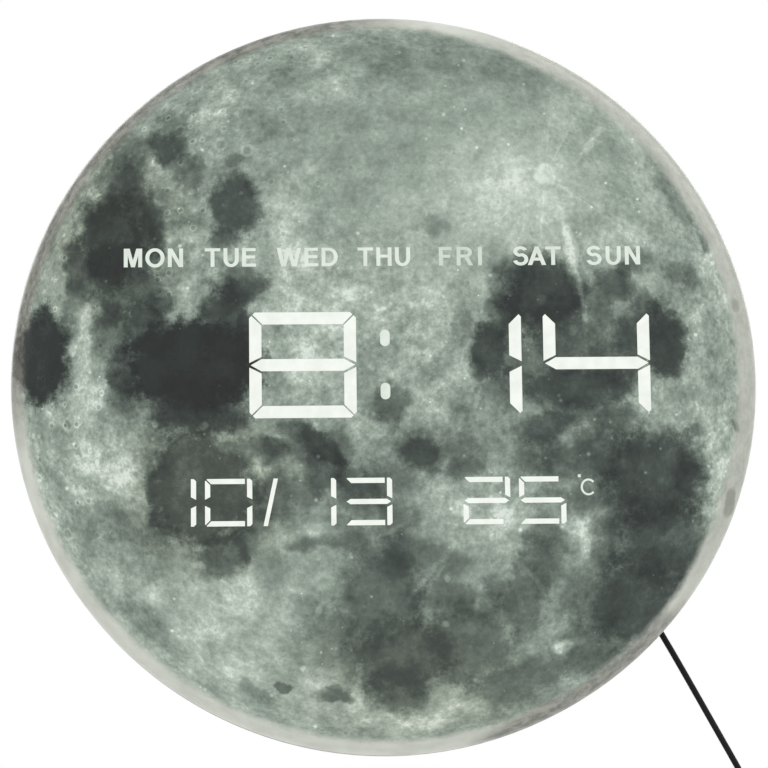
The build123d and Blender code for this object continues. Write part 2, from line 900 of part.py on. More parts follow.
# Screws of both boards: the display board's heads face the wall, the button board's the face
button_board_screw_length = board_thickness + thread_bite - 2 * pilot_wall
with BuildPart() as board_screws:
    add(screw_set(board_post_places, board_rear_level, board_thickness + board_pilot_depth - pilot_wall))
    add(screw_set(button_board_screw_places, button_board_front_level, button_board_screw_length, head_rear=False))
save(board_screws, "board_screws")

# Countersunk screws of the hanger plate, their heads level with it
with BuildPart() as hanger_screws:
    with BuildSketch(facing(0)):
        with Locations(*hanger_hole_places):
            Circle(screw_head_radius)
    extrude(amount=hanger_thickness, taper=sunk_head_angle)
    with BuildSketch(facing(0)):
        with Locations(*hanger_hole_places):
            Circle(screw_radius)
    extrude(amount=hanger_thickness + hanger_seat + thread_bite - 2 * pilot_wall)
    with BuildSketch(facing(0)):
        with Locations(*hanger_hole_places):
            Rectangle(screw_socket_length, screw_socket_width)
            Rectangle(screw_socket_width, screw_socket_length)
    extrude(amount=screw_socket_depth, mode=Mode.SUBTRACT)
save(hanger_screws, "hanger_screws")

# Buttons: cap, switch plunger and switch body on a small board
for name, place in zip(button_names, button_places):
    with BuildPart() as button_cap:
        with BuildSketch(facing(button_proud)):
            with Locations(place):
                Circle(button_radius)
        extrude(amount=button_proud - button_flange_front_level)
        fillet(button_cap.edges().group_by(Axis.Y)[-1], radius=button_edge_round)
        with BuildSketch(facing(button_flange_rear_level)):
            with Locations(place):
                Circle(button_flange_radius)
        extrude(amount=button_flange_thickness)
        with BuildSketch(facing(button_flange_front_level)):
            with Locations(place):
                Circle(button_stem_radius)
        extrude(amount=button_stem_length)
    save(button_cap, f"{name}_button")

    with BuildPart() as plunger:
        with BuildSketch(facing(plunger_rear_level)):
            with Locations(place):
                Circle(plunger_radius)
        extrude(amount=plunger_rise + plunger_guide)
    save(plunger, f"{name}_plunger")

with BuildPart() as switch_bodies:
    with BuildSketch(facing(switch_rear_level)):
        with Locations(*button_places):
            Rectangle(switch_width, switch_width)
    extrude(amount=switch_height)
    with BuildSketch(facing(switch_rear_level)):
        with Locations(*button_places):
            Circle(plunger_radius + plunger_gap)
    extrude(amount=plunger_guide + button_travel + plunger_floor_gap, mode=Mode.SUBTRACT)
save(switch_bodies, "switch_bodies")

with BuildPart() as button_board:
    with BuildSketch(facing(button_board_rear_level)):
        with Locations((button_x, 0)):
            RectangleRounded(button_board_width, button_board_length, button_board_round)
        with Locations(*button_board_screw_places):
            Circle(screw_radius + board_hole_gap, mode=Mode.SUBTRACT)
    extrude(amount=board_thickness)
save(button_board, "button_board")

# Ribbon cable, bent in the plane across its width
ribbon_plane = Plane(origin=(button_x, 0, -disc_drop), x_dir=(0, 1, 0), z_dir=(1, 0, 0))
with BuildPart() as ribbon_cable:
    with BuildSketch(ribbon_plane):
        with BuildLine() as ribbon_line:
            FilletPolyline(
                (board_rear_level, ribbon_row),
                (board_rear_level + ribbon_rise, ribbon_row),
                (board_rear_level + ribbon_rise, ribbon_row + ribbon_run),
                (button_board_front_level, ribbon_row + ribbon_run),
                radius=ribbon_round,
            )
        trace(line_width=ribbon_thickness)
    extrude(amount=ribbon_width / 2, both=True)
save(ribbon_cable, "ribbon_cable")

# Cell compartment
cap_inner_level = -cap_thickness
lug_rear_level = cover_inner_level - lug_gap
lug_front_level = lug_rear_level - lug_thickness
holder_front_level = cover_inner_level - holder_depth
holder_floor_level = holder_front_level + holder_floor
cell_front_level = holder_floor_level + contact_thickness
holder_inner_radius = lug_radius + cell_side_gap + cap_gap
holder_ring_radius = cell_radius + cell_side_gap
holder_ring_height = cell_front_level + cell_thickness - holder_floor_level
with BuildPart() as cell_holder:
    with BuildSketch(facing(cover_inner_level)):
        with Locations((cell_x, cell_row)):
            Circle(holder_inner_radius + holder_wall)
    extrude(amount=holder_depth)
    with BuildSketch(facing(cover_inner_level)):
        with Locations((cell_x, cell_row)):
            Circle(holder_inner_radius)
    extrude(amount=holder_depth - holder_floor, mode=Mode.SUBTRACT)
    with BuildSketch(facing(holder_floor_level + holder_ring_height)):
        with Locations((cell_x, cell_row)):
            Circle(holder_ring_radius + holder_ring_wall)
            Circle(holder_ring_radius, mode=Mode.SUBTRACT)
    extrude(amount=holder_ring_height + holder_floor / 2)
save(cell_holder, "cell_holder")

with BuildPart() as cell_contact:
    with BuildSketch(facing(cell_front_level)):
        with Locations((cell_x, cell_row)):
            Rectangle(contact_length, contact_width)
    extrude(amount=contact_thickness)
save(cell_contact, "cell_contact")

with BuildPart() as coin_cell:
    with BuildSketch(facing(cell_front_level + cell_thickness)):
        with Locations((cell_x, cell_row)):
            Circle(cell_radius)
    extrude(amount=cell_thickness)
    fillet(coin_cell.edges().group_by(Axis.Y)[-1], radius=cell_round)
save(coin_cell, "coin_cell")

with BuildPart() as cell_cap:
    with BuildSketch(facing(0)):
        with Locations((cell_x, cell_row)):
            Circle(cap_radius)
    extrude(amount=-lug_front_level)
    with BuildSketch(facing(cap_inner_level)):
        with Locations((cell_x, cell_row)):
            Circle(cap_radius - cap_skirt_wall)
    extrude(amount=cap_inner_level - lug_front_level, mode=Mode.SUBTRACT)
    with BuildSketch(facing(lug_rear_level)):
        with Locations((cell_x, cell_row)):
            add(lug_wedges(lug_radius, 0))
            Circle(cap_radius - cap_skirt_wall, mode=Mode.SUBTRACT)
    extrude(amount=lug_thickness)
    with BuildSketch(facing(0)):
        with Locations((cell_x, cell_row)):
            SlotOverall(cap_slot_length, cap_slot_width)
    extrude(amount=cap_slot_depth, mode=Mode.SUBTRACT)
save(cell_cap, "cell_cap")

# Strain relief moulded on to the lead where it leaves the bulge
relief_inner = -cover_wall - relief_seat_gap
relief_profile = Plane(origin=exit_point, x_dir=relief_out, z_dir=(0, 1, 0))
relief_axis = Axis(exit_point, relief_out)
with BuildPart() as strain_relief:
    with BuildSketch(relief_profile):
        with BuildLine():
            Polyline(
                (relief_inner - relief_collar_thickness, 0),
                (relief_inner - relief_collar_thickness, relief_collar_radius),
                (relief_inner, relief_collar_radius),
                (relief_inner, relief_neck_radius),
                (relief_seat_gap, relief_neck_radius),
                (relief_seat_gap, relief_collar_radius),
                (relief_seat_gap + relief_collar_thickness, relief_collar_radius),
                (relief_seat_gap + relief_collar_thickness, relief_root_radius),
                (relief_length, relief_tip_radius),
                (relief_length, 0),
                (relief_inner - relief_collar_thickness, 0),
            )
        make_face()
        ring_pitch = (relief_length - relief_seat_gap - relief_collar_thickness) / (relief_ring_count + 1)
        for ring in range(relief_ring_count):
            ring_at = relief_seat_gap + relief_collar_thickness + (ring + 1) * ring_pitch
            taper_share = (ring_at - relief_seat_gap - relief_collar_thickness) / (
                relief_length - relief_seat_gap - relief_collar_thickness
            )
            ring_radius = relief_root_radius + (relief_tip_radius - relief_root_radius) * taper_share
            with Locations((ring_at, ring_radius)):
                Rectangle(relief_ring_width, 2 * relief_ring_depth, mode=Mode.SUBTRACT)
    revolve(axis=relief_axis)
save(strain_relief, "strain_relief")

# Inner wires from the strain relief to their socket on the display board
wire_start = exit_point + relief_out * (relief_inner - relief_collar_thickness)
wire_end = disc_centre + Vector(socket_x, board_rear_level + socket_wall, socket_row)
with BuildPart() as power_wires:
    for side in (-1, 1):
        spread = Vector(0, side * wire_spread / 2, 0)
        start = wire_start + spread
        end = wire_end + Vector(side * wire_spread / 2, 0, 0)
        first_turn = start - relief_out * wire_lead_in
        last_turn = Vector(end.X, start.Y, end.Z)
        with BuildLine() as wire_line:
            FilletPolyline(start, first_turn, last_turn, end, radius=wire_bend)
        with BuildSketch(Plane(origin=wire_line.line @ 0, z_dir=wire_line.line % 0)):
            Circle(wire_radius)
        sweep()
save(power_wires, "power_wires")

# Free lead: hand-set route from the strain relief's tip down to the coil
relief_tip = exit_point + relief_out * relief_length
surface_level = -disc_drop - floor_drop
coil_top_level = surface_level + coil_lift + cord_radius + (coil_layers - 1) * coil_layer_pitch
coil_entry = Vector(coil_start_x + cord_diameter, -9.0, coil_top_level)
lead_points = [
    relief_tip,
    Vector(104.2, -8.5, -174.0),
    Vector(143.0, -8.9, -245.9),
    Vector(147.0, -9.2, -259.5),
    Vector(142.5, -9.1, -271.5),
    Vector(126.3, coil_entry.Y, coil_entry.Z),
    coil_entry,
]
arc_share = 0.45


def bend_radii(points):
    """The radius at each inner point of a route, from the shorter run beside it."""
    radii = []
    for before, here, after in zip(points, points[1:], points[2:]):
        turn = (here - before).get_angle(after - here)
        shorter = min((here - before).length, (after - here).length)
        radii.append(arc_share * shorter / math.tan(math.radians(turn / 2)))
    return radii


def save_lead(label, points):
    """A free stretch of the lead, straight runs joined by arcs."""
    radii = bend_radii(points)
    with BuildPart() as lead:
        with BuildLine() as lead_line:
            FilletPolyline(*points, radius=radii)
        with BuildSketch(Plane(origin=lead_line.line @ 0, z_dir=lead_line.line % 0)):
            Circle(cord_radius)
        sweep()
    save(lead, label)
    length = sum(edge.length for edge in lead_line.edges())
    volume_share = lead.part.volume / (math.pi * cord_radius**2 * length)
    print(label, "radii", [round(radius, 1) for radius in radii])
    print(label, "length", round(length, 1), "volume against section times length", round(volume_share, 4))
    return length


lead_length = save_lead("power_cord", lead_points)

# Coil of the unused length: four layers, spiralling in and out, one unbroken tube
coil_centre = Vector(coil_start_x, coil_entry.Y - coil_outer_radius, 0)
coil_quarters = coil_layers * coil_layer_quarters
coil_inner_radius = coil_outer_radius - coil_layer_quarters * coil_pitch / 4


def coil_place(quarter):
    """Where the coil's middle line is after so many quarter turns, and its direction there."""
    layer, along = divmod(quarter, coil_layer_quarters)
    inward = layer % 2 == 0
    run = along if inward else coil_layer_quarters - along
    reversing = along == 0
    radius = coil_outer_radius - run * coil_pitch / 4
    radius_rate = 0 if reversing else (-coil_pitch / 4 if inward else coil_pitch / 4)
    drop = layer * coil_layer_pitch
    drop_rate = 0
    if reversing and 0 < quarter < coil_quarters:
        drop -= coil_layer_pitch / 2
        drop_rate = coil_layer_pitch * math.pi / 4
    elif quarter == coil_quarters:
        drop = (coil_layers - 1) * coil_layer_pitch
    angle = math.radians(90 + 90 * quarter)
    outwards = Vector(math.cos(angle), math.sin(angle), 0)
    along_turn = Vector(-math.sin(angle), math.cos(angle), 0)
    place = coil_centre + outwards * radius + Vector(0, 0, coil_top_level - drop)
    heading = outwards * radius_rate + along_turn * (radius * math.pi / 2) - Vector(0, 0, drop_rate)
    return place, heading.normalized()


def biarc_joint(start, start_heading, end, end_heading):
    """The point, and the direction there, where two tangent arcs between the ends meet."""
    chord = end - start
    both = start_heading + end_heading
    spread = 1 - start_heading.dot(end_heading)
    reach = (-chord.dot(both) + math.sqrt(chord.dot(both) ** 2 + 2 * spread * chord.dot(chord))) / (2 * spread)
    near = start + start_heading * reach
    far = end - end_heading * reach
    return (near + far) / 2, (far - near).normalized()


arcs_per_quarter = 2
samples_per_arc = 12
coil_samples = []
with BuildPart() as cord_coil:
    with BuildLine() as coil_line:
        coil_begin, begin_heading = coil_place(0)
        Line(coil_begin - begin_heading * cord_diameter, coil_begin)
        for quarter in range(coil_quarters):
            here, heading = coil_place(quarter)
            there, next_heading = coil_place(quarter + 1)
            joint, joint_heading = biarc_joint(here, heading, there, next_heading)
            for arc in (TangentArc(here, joint, tangent=heading), TangentArc(joint, there, tangent=joint_heading)):
                coil_samples += [tuple(arc @ (step / samples_per_arc)) for step in range(samples_per_arc)]
        Line(there, there + next_heading * cord_diameter)
    with BuildSketch(Plane(origin=coil_begin - begin_heading * cord_diameter, z_dir=begin_heading)):
        Circle(cord_radius)
    sweep()
save(cord_coil, "cord_coil")
coil_length = sum(edge.length for edge in coil_line.edges())
coil_volume_share = cord_coil.part.volume / (math.pi * cord_radius**2 * coil_length)
half_turn_samples = 2 * arcs_per_quarter * samples_per_arc
coil_gap = min(
    math.dist(point, other) - cord_diameter
    for index, point in enumerate(coil_samples)
    for other in coil_samples[index + half_turn_samples :]
)
print("cord_coil turns", coil_quarters / 4, "length", round(coil_length, 1))
print("cord_coil volume against section times length", round(coil_volume_share, 4))
print("cord_coil least gap to itself", round(coil_gap, 2), "smallest radius", round(coil_inner_radius, 2))

# Short tail from the coil to the plug
tail_begin = there + next_heading * cord_diameter
plug_entry = Vector(72.0, -10.5, surface_level + plug_height / 2)
tail_points = [
    tail_begin,
    Vector(93.0, tail_begin.Y, tail_begin.Z),
    Vector(82.0, plug_entry.Y, plug_entry.Z),
    plug_entry,
]
tail_length = save_lead("cord_tail", tail_points)
print("whole lead outside the case", round(lead_length + coil_length + tail_length, 1))

# Tie round the coil's turns, on the side away from the wall
tie_near = math.sqrt((coil_inner_radius - cord_radius) ** 2 - (tie_width / 2) ** 2) - tie_gap
tie_far = coil_outer_radius + cord_radius + tie_gap
tie_low = surface_level + tie_thickness
tie_high = coil_top_level + cord_radius + tie_gap
tie_plane = Plane(origin=(coil_centre.X, coil_centre.Y, 0), x_dir=(0, 1, 0), z_dir=(1, 0, 0))
with BuildPart() as coil_tie:
    with BuildSketch(tie_plane):
        with Locations((-(tie_near + tie_far) / 2, (tie_low + tie_high) / 2)):
            RectangleRounded(
                tie_far - tie_near + 2 * tie_thickness, tie_high - tie_low + 2 * tie_thickness, tie_round
            )
            RectangleRounded(tie_far - tie_near, tie_high - tie_low, tie_round - tie_thickness, mode=Mode.SUBTRACT)
    extrude(amount=tie_width / 2, both=True)
save(coil_tie, "coil_tie")

# Plug: moulded body, metal shell and the tongue that carries its contacts
plug_plane = Plane(origin=plug_entry, x_dir=(0, 1, 0), z_dir=(-1, 0, 0))
with BuildPart() as plug_body:
    with BuildSketch(plug_plane) as plug_back:
        RectangleRounded(plug_width - plug_nose, plug_height - plug_round, plug_round)
    with BuildSketch(plug_plane.offset(plug_nose)):
        RectangleRounded(plug_width, plug_height, plug_round)
    loft()
    with BuildSketch(plug_plane.offset(plug_nose)):
        RectangleRounded(plug_width, plug_height, plug_round)
    extrude(amount=plug_length - plug_nose)
    with BuildSketch(plug_plane.offset(plug_length - shell_sunk)):
        Rectangle(shell_width, shell_height)
    extrude(amount=shell_sunk, mode=Mode.SUBTRACT)
    for grip in range(plug_grip_count):
        with BuildSketch(plug_plane.offset(plug_nose + (grip + 1) * plug_grip_pitch)):
            for side in (-1, 1):
                with Locations((side * plug_width / 2, 0)):
                    Rectangle(2 * plug_grip_depth, plug_height / 2)
        extrude(amount=plug_grip_width, mode=Mode.SUBTRACT)
save(plug_body, "plug_body")

with BuildPart() as plug_shell:
    with BuildSketch(plug_plane.offset(plug_length - shell_sunk)):
        Rectangle(shell_width, shell_height)
    extrude(amount=shell_sunk + shell_length)
    with BuildSketch(plug_plane.offset(plug_length - shell_sunk + shell_wall)):
        Rectangle(shell_width - 2 * shell_wall, shell_height - 2 * shell_wall)
    extrude(amount=shell_sunk + shell_length, mode=Mode.SUBTRACT)
    with BuildSketch(plug_plane.offset(plug_length + shell_length / 2)):
        for side in (-1, 1):
            with Locations((side * shell_window_x, 0)):
                Rectangle(shell_window, shell_height + overrun)
    extrude(amount=shell_window, mode=Mode.SUBTRACT)
save(plug_shell, "plug_shell")

with BuildPart() as plug_tongue:
    with BuildSketch(plug_plane.offset(plug_length - shell_sunk + shell_wall)):
        with Locations((0, -shell_height / 2 + shell_wall + tongue_gap + tongue_height / 2)):
            Rectangle(shell_width - 2 * shell_wall - 2 * tongue_gap, tongue_height)
    extrude(amount=shell_sunk + shell_length - shell_wall - tongue_setback)
save(plug_tongue, "plug_tongue")
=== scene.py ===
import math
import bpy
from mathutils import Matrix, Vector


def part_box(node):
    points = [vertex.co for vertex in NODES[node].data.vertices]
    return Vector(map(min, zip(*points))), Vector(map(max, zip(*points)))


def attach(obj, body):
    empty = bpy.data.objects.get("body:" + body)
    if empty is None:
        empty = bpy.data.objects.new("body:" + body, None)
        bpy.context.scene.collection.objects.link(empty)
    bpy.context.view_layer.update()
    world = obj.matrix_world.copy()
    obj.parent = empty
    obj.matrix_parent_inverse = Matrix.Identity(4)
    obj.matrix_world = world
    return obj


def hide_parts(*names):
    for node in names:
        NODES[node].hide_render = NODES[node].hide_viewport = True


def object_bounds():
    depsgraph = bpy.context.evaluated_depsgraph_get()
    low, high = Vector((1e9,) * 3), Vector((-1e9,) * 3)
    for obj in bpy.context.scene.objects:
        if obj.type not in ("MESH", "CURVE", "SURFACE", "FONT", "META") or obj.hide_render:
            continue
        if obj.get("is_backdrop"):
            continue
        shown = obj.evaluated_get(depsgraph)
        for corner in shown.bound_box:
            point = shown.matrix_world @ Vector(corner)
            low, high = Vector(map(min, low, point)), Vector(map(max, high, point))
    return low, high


bl_info = {
    "name": "Lit Wall Clock",
    "version": (1, 0, 0),
    "blender": (4, 5, 0),
    "location": "3D View > Sidebar > Clock",
    "description": "Dresses a packed wall clock: printed face, lit figures, rear cover, fixings and lead",
    "category": "Object",
}

import bmesh
import bpy
from bpy.props import FloatProperty, FloatVectorProperty, IntProperty, PointerProperty
from mathutils import Matrix, Vector

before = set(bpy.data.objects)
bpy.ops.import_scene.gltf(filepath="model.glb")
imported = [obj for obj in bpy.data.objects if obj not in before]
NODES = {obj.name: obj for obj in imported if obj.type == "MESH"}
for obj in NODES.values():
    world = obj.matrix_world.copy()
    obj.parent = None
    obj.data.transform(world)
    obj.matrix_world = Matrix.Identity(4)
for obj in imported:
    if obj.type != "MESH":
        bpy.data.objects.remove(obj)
CAD_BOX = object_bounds()

# Sizes in millimetres are given to Blender times MM
MM = 0.001
# Points nearer than this in metres are merged
SAME_PLACE = 1e-7
DISC_MIDDLE = Vector((0.0, 0.0, -85.0))
FRONT_LEVEL = -30.0
FLOOR_LEVEL = -290.0

# Rows and columns of the face in millimetres, from the middle of the disc
TIME_ROW = 5.5
TIME_HALF_SIZE = (21.45, 21.45)
SMALL_ROW = -49.7
SMALL_HALF_SIZE = (9.4, 9.5)
WEEKDAY_ROW = 49.5
WEEKDAY_PITCH = 30.9
# The names and how wide each is spread
WEEKDAYS = {"MON": 23.8, "TUE": 20.6, "WED": 24.6, "THU": 21.2, "FRI": 17.4, "SAT": 19.4, "SUN": 21.8}
TIME_FIGURES = {"hour_tens": -84.7, "hour_units": -33.0, "minute_tens": 33.4, "minute_units": 85.1}
SMALL_FIGURES = {
    "month_tens": -85.2,
    "month_units": -62.9,
    "day_tens": -29.5,
    "day_units": -7.2,
    "temperature_tens": 39.9,
    "temperature_units": 62.2,
}
# Lit bars of each numeral: top, upper left, upper right, middle, bottom, lower left, lower right
NUMERAL_BARS = (
    "1110111", "0010001", "1011110", "1011101", "0111001",
    "1101101", "1101111", "1010001", "1111111", "1111101",
)


def srgb(red, green, blue):
    """A colour given as 0 to 255 display values, as the linear values that shaders use."""
    return tuple(
        value / 255 / 12.92 if value <= 10 else ((value / 255 + 0.055) / 1.055) ** 2.4
        for value in (red, green, blue)
    )


def color_setting(name, description, color):
    return FloatVectorProperty(name=name, description=description, subtype="COLOR", default=color, min=0, max=1)


def count_setting(name, description, default, low, high):
    return IntProperty(name=name, description=description, default=default, min=low, max=high)


def length_setting(name, description, default):
    return FloatProperty(name=name, description=description, default=default, unit="LENGTH")


def angle_setting(name, description, degrees):
    return FloatProperty(
        name=name, description=description, default=math.radians(degrees), subtype="ANGLE", unit="ROTATION"
    )


class ClockDisplay(bpy.types.PropertyGroup):
    """What the face shows and how brightly."""

    hour: count_setting("Hour", "Hour that the face shows", 8, 0, 23)
    minute: count_setting("Minute", "Minute that the face shows", 14, 0, 59)
    month: count_setting("Month", "Month that the face shows", 10, 1, 12)
    day: count_setting("Day", "Day that the face shows", 13, 1, 31)
    temperature: count_setting("Temperature", "Temperature that the face shows, in degrees", 25, 0, 50)
    lit_color: color_setting("Lit colour", "Colour of a lit bar", srgb(243, 247, 240))
    word_color: color_setting("Word colour", "Colour of the lit words", srgb(228, 236, 226))
    dim_color: color_setting("Dim colour", "Colour of the dimmest word", srgb(209, 219, 208))
    dim_day: count_setting("Dim day", "The weekday that is lit least, 0 for none", 5, 0, 7)
    word_height: length_setting("Word height", "Height of a capital letter in metres", 0.0076)


class ClockFinish(bpy.types.PropertyGroup):
    """Colours of the case and its fittings."""

    cover_color: color_setting("Cover", "Colour of the rear cover", srgb(44, 45, 47))
    button_color: color_setting("Buttons", "Colour of the button caps", srgb(92, 94, 97))
    pad_color: color_setting("Wall pads", "Colour of the rubber pads", srgb(70, 70, 72))
    steel_color: color_setting("Plated steel", "Colour of the plate and the screws", srgb(196, 198, 200))
    lead_color: color_setting("Lead", "Colour of the lead's sheath", srgb(15, 15, 16))


class ClockLead(bpy.types.PropertyGroup):
    """The free lead."""

    diameter: length_setting("Diameter", "Thickness of the lead in metres", 0.0025)
    length: length_setting("Length", "Length from the strain relief to the plug in metres", 1.439)


class ClockStage(bpy.types.PropertyGroup):
    """Camera, lamps and floor."""

    distance: length_setting("Distance", "Camera to the middle of the disc in metres", 1.2)
    focal: FloatProperty(name="Focal length", description="Focal length in picture widths", default=3.869)
    azimuth: angle_setting("Azimuth", "Camera's turn round the clock", -1.953)
    elevation: angle_setting("Elevation", "Camera's height angle", -8.763)
    roll: angle_setting("Roll", "How far the picture is turned", 0.7)
    lamp_level: FloatProperty(
        name="Lamp level", description="Brightness of the lamps, 1 is plain", default=1.0, min=0
    )
    ambient_level: FloatProperty(
        name="Ambient level", description="Brightness of the room on matt surfaces", default=0.5, min=0
    )


# ---------------------------------------------------------------- shader maths


class Tap:
    """An output of a shader tree that takes part in sums, products and comparisons."""

    def __init__(self, shader, socket):
        self.shader = shader
        self.socket = socket

    def maths(self, operation, *values):
        return self.shader.node("Math", {"operation": operation}, dict(enumerate(values)))

    def __add__(self, other):
        return self.maths("ADD", self, other)

    __radd__ = __add__

    def __sub__(self, other):
        return self.maths("SUBTRACT", self, other)

    def __rsub__(self, other):
        return self.maths("SUBTRACT", other, self)

    def __mul__(self, other):
        return self.maths("MULTIPLY", self, other)

    def __truediv__(self, other):
        return self.maths("DIVIDE", self, other)

    def __pow__(self, other):
        return self.maths("POWER", self, other)

    def __abs__(self):
        return self.maths("ABSOLUTE", self)

    def above(self, other):
        return self.maths("MAXIMUM", self, other)

    def below(self, other):
        return self.maths("MINIMUM", self, other)

    def wave(self):
        return self.maths("SINE", self)

    def ease(self, low, high, start=0.0, end=1.0):
        """Goes smoothly from start to end while this value goes from low to high."""
        return self.shader.node(
            "MapRange",
            {"interpolation_type": "SMOOTHSTEP", "clamp": False},
            {"Value": self, "From Min": low, "From Max": high, "To Min": start, "To Max": end},
        )

    def scaled(self, factor):
        return self.shader.node("VectorMath", {"operation": "MULTIPLY"}, {0: self, 1: factor})

    def shifted(self, other):
        return self.shader.node("VectorMath", {"operation": "ADD"}, {0: self, 1: other})

    def dot(self, other):
        return self.shader.node("VectorMath", {"operation": "DOT_PRODUCT"}, {0: self, 1: other}, "Value")

    def length(self):
        return self.shader.node("VectorMath", {"operation": "LENGTH"}, {0: self}, "Value")

    def unit(self):
        return self.shader.node("VectorMath", {"operation": "NORMALIZE"}, {0: self})


class Shader:
    """One material and the tree behind it."""

    def __init__(self, name, **surface):
        self.material = bpy.data.materials.new(name)
        self.material.use_nodes = True
        self.tree = self.material.node_tree
        self.surface = self.tree.nodes["Principled BSDF"]
        for socket, value in surface.items():
            self.set(socket.replace("_", " ").title().replace("Ior", "IOR"), value)

    def set(self, socket, value):
        """Gives one of the surface's sockets a value or a link."""
        target = self.surface.inputs[socket]
        if isinstance(value, Tap):
            self.tree.links.new(value.socket, target)
        elif isinstance(value, tuple) and len(value) == 3 and target.type == "RGBA":
            target.default_value = (*value, 1.0)
        else:
            target.default_value = value

    def node(self, kind, settings=None, values=None, output=0):
        """Adds a node, its settings first, then the values or links of its sockets."""
        made = self.tree.nodes.new("ShaderNode" + kind)
        for name, value in (settings or {}).items():
            if name == "stops":
                for index, (position, color) in enumerate(value):
                    stop = made.color_ramp.elements[index] if index < 2 else made.color_ramp.elements.new(position)
                    stop.position = position
                    stop.color = (*color, 1.0)
            else:
                setattr(made, name, value)
        for name, value in (values or {}).items():
            target = made.inputs[name]
            if isinstance(value, Tap):
                self.tree.links.new(value.socket, target)
            elif target.type == "RGBA" and len(value) == 3:
                target.default_value = (*value, 1.0)
            else:
                target.default_value = value
        return Tap(self, made.outputs[output])

    def place(self):
        """Place on the object in millimetres."""
        return self.node("TexCoord", output="Object").scaled((1000.0, 1000.0, 1000.0))

    def noise(self, place, size, detail=3.0, roughness=0.5):
        """Cloudy variation whose features are about size millimetres wide."""
        values = {"Vector": place, "Scale": 1.0 / size, "Detail": detail, "Roughness": roughness}
        return self.node("TexNoise", {}, values)

    def cells(self, place, size, output=0):
        """Distance from the middles of cells about size millimetres wide, or their colours for output 1."""
        return self.node("TexVoronoi", {}, {"Vector": place, "Scale": 1.0 / size}, output)

    def stir(self, place, size, detail, reach):
        """A shift over the face, up to about half of reach each way."""
        other = place.shifted((61.0, 0.0, 37.0))
        shifts = [(self.noise(spot, size, detail, 0.55) - 0.5) * reach for spot in (place, other)]
        return self.node("CombineXYZ", {}, {0: shifts[0], 2: shifts[1]})

    def pick(self, color):
        """The red share of a colour, as a number that differs from cell to cell."""
        return self.node("SeparateColor", {}, {0: color})

    def split(self, vector):
        made = self.tree.nodes.new("ShaderNodeSeparateXYZ")
        self.tree.links.new(vector.socket, made.inputs[0])
        return [Tap(self, socket) for socket in made.outputs]

    def ramp(self, factor, *stops):
        return self.node("ValToRGB", {"stops": stops}, {0: factor})

    def blend(self, factor, low, high, way="MIX"):
        """Mixes two colours."""
        made = self.tree.nodes.new("ShaderNodeMix")
        made.data_type = "RGBA"
        made.blend_type = way
        made.clamp_factor = True
        for index, value in ((0, factor), (6, low), (7, high)):
            target = made.inputs[index]
            if isinstance(value, Tap):
                self.tree.links.new(value.socket, target)
            elif index:
                target.default_value = (*value, 1.0)
            else:
                target.default_value = value
        return Tap(self, made.outputs[2])

    def relief(self, height, depth):
        """Bumps the surface by height times depth millimetres."""
        self.set("Normal", self.node("Bump", {}, {"Strength": 1.0, "Distance": depth * MM, "Height": height}))


def shade(color, factor):
    """A colour made lighter or darker."""
    return tuple(min(1.0, channel * factor) for channel in color)


def plain_finish(name, color, roughness, grain, depth, spread=0.12, metallic=0.0, **surface):
    """A moulded, plated or painted finish: grain and depth in millimetres, spread is how far its tone varies."""
    made = Shader(name, metallic=metallic, **surface)
    place = made.place()
    cloud = made.noise(place, 9.0, 4.0)
    fine = made.noise(place, grain, 3.0, 0.6)
    tone = (cloud * 0.6 + fine * 0.4).ease(0.3, 0.7)
    made.set("Base Color", made.blend(tone, shade(color, 1 - spread), shade(color, 1 + spread)))
    made.set("Roughness", (cloud * 0.5 + fine * 0.5).ease(0.25, 0.75, roughness - 0.07, roughness + 0.07))
    made.relief(fine, depth)
    return made.material


def use(material, *names):
    """Gives CAD nodes a finish through their material slots."""
    for name in names:
        piece = NODES[name]
        if not piece.material_slots:
            piece.data.materials.append(material)
        for slot in piece.material_slots:
            slot.material = material


def add_piece(name, mesh, material, stands_for=(), smooth=True, body="clock"):
    """Puts a finished mesh, already in place, on one of the clock's bodies."""
    mesh.name = name
    mesh.materials.clear()
    mesh.materials.append(material)
    piece = bpy.data.objects.new(name, mesh)
    bpy.context.scene.collection.objects.link(piece)
    for polygon in mesh.polygons:
        polygon.use_smooth = smooth
    if smooth:
        mesh.set_sharp_from_angle(angle=math.radians(32))
    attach(piece, body)
    if stands_for:
        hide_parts(*stands_for)


def finished(work, name):
    """Ends a piece of mesh work: its faces turned outwards, as a plain mesh."""
    bmesh.ops.recalc_face_normals(work, faces=work.faces)
    mesh = bpy.data.meshes.new(name)
    work.to_mesh(mesh)
    work.free()
    return mesh


def settle(host):
    """The evaluated shape of an object as a plain mesh; the object itself goes."""
    bpy.context.view_layer.update()
    graph = bpy.context.evaluated_depsgraph_get()
    mesh = bpy.data.meshes.new_from_object(host.evaluated_get(graph))
    bpy.data.objects.remove(host)
    return mesh


def lathe(profile, steps, at, along):
    """Turns a closed profile of (distance along the axis, radius) pairs, in millimetres, about an axis."""
    work = bmesh.new()
    side = along.orthogonal().normalized()
    other = along.cross(side)
    rings = []
    for step in range(steps):
        turn = 2 * math.pi * step / steps
        out = side * math.cos(turn) + other * math.sin(turn)
        rings.append([work.verts.new((at + along * reach + out * radius) * MM) for reach, radius in profile])
    for step in range(steps):
        near, far = rings[step], rings[(step + 1) % steps]
        for index in range(len(profile) - 1):
            work.faces.new((near[index], near[index + 1], far[index + 1], far[index]))
    bmesh.ops.remove_doubles(work, verts=work.verts, dist=SAME_PLACE)
    return finished(work, "lathe")


# ----------------------------------------------------------------------- stage

# Width of the film and the point that the camera looks at, in millimetres
FILM_WIDTH = 36.0
CAMERA_AIM = Vector((-0.237, -20.0, -85.919))
# How far the floor reaches each way, in metres
FLOOR_REACH = 3.0
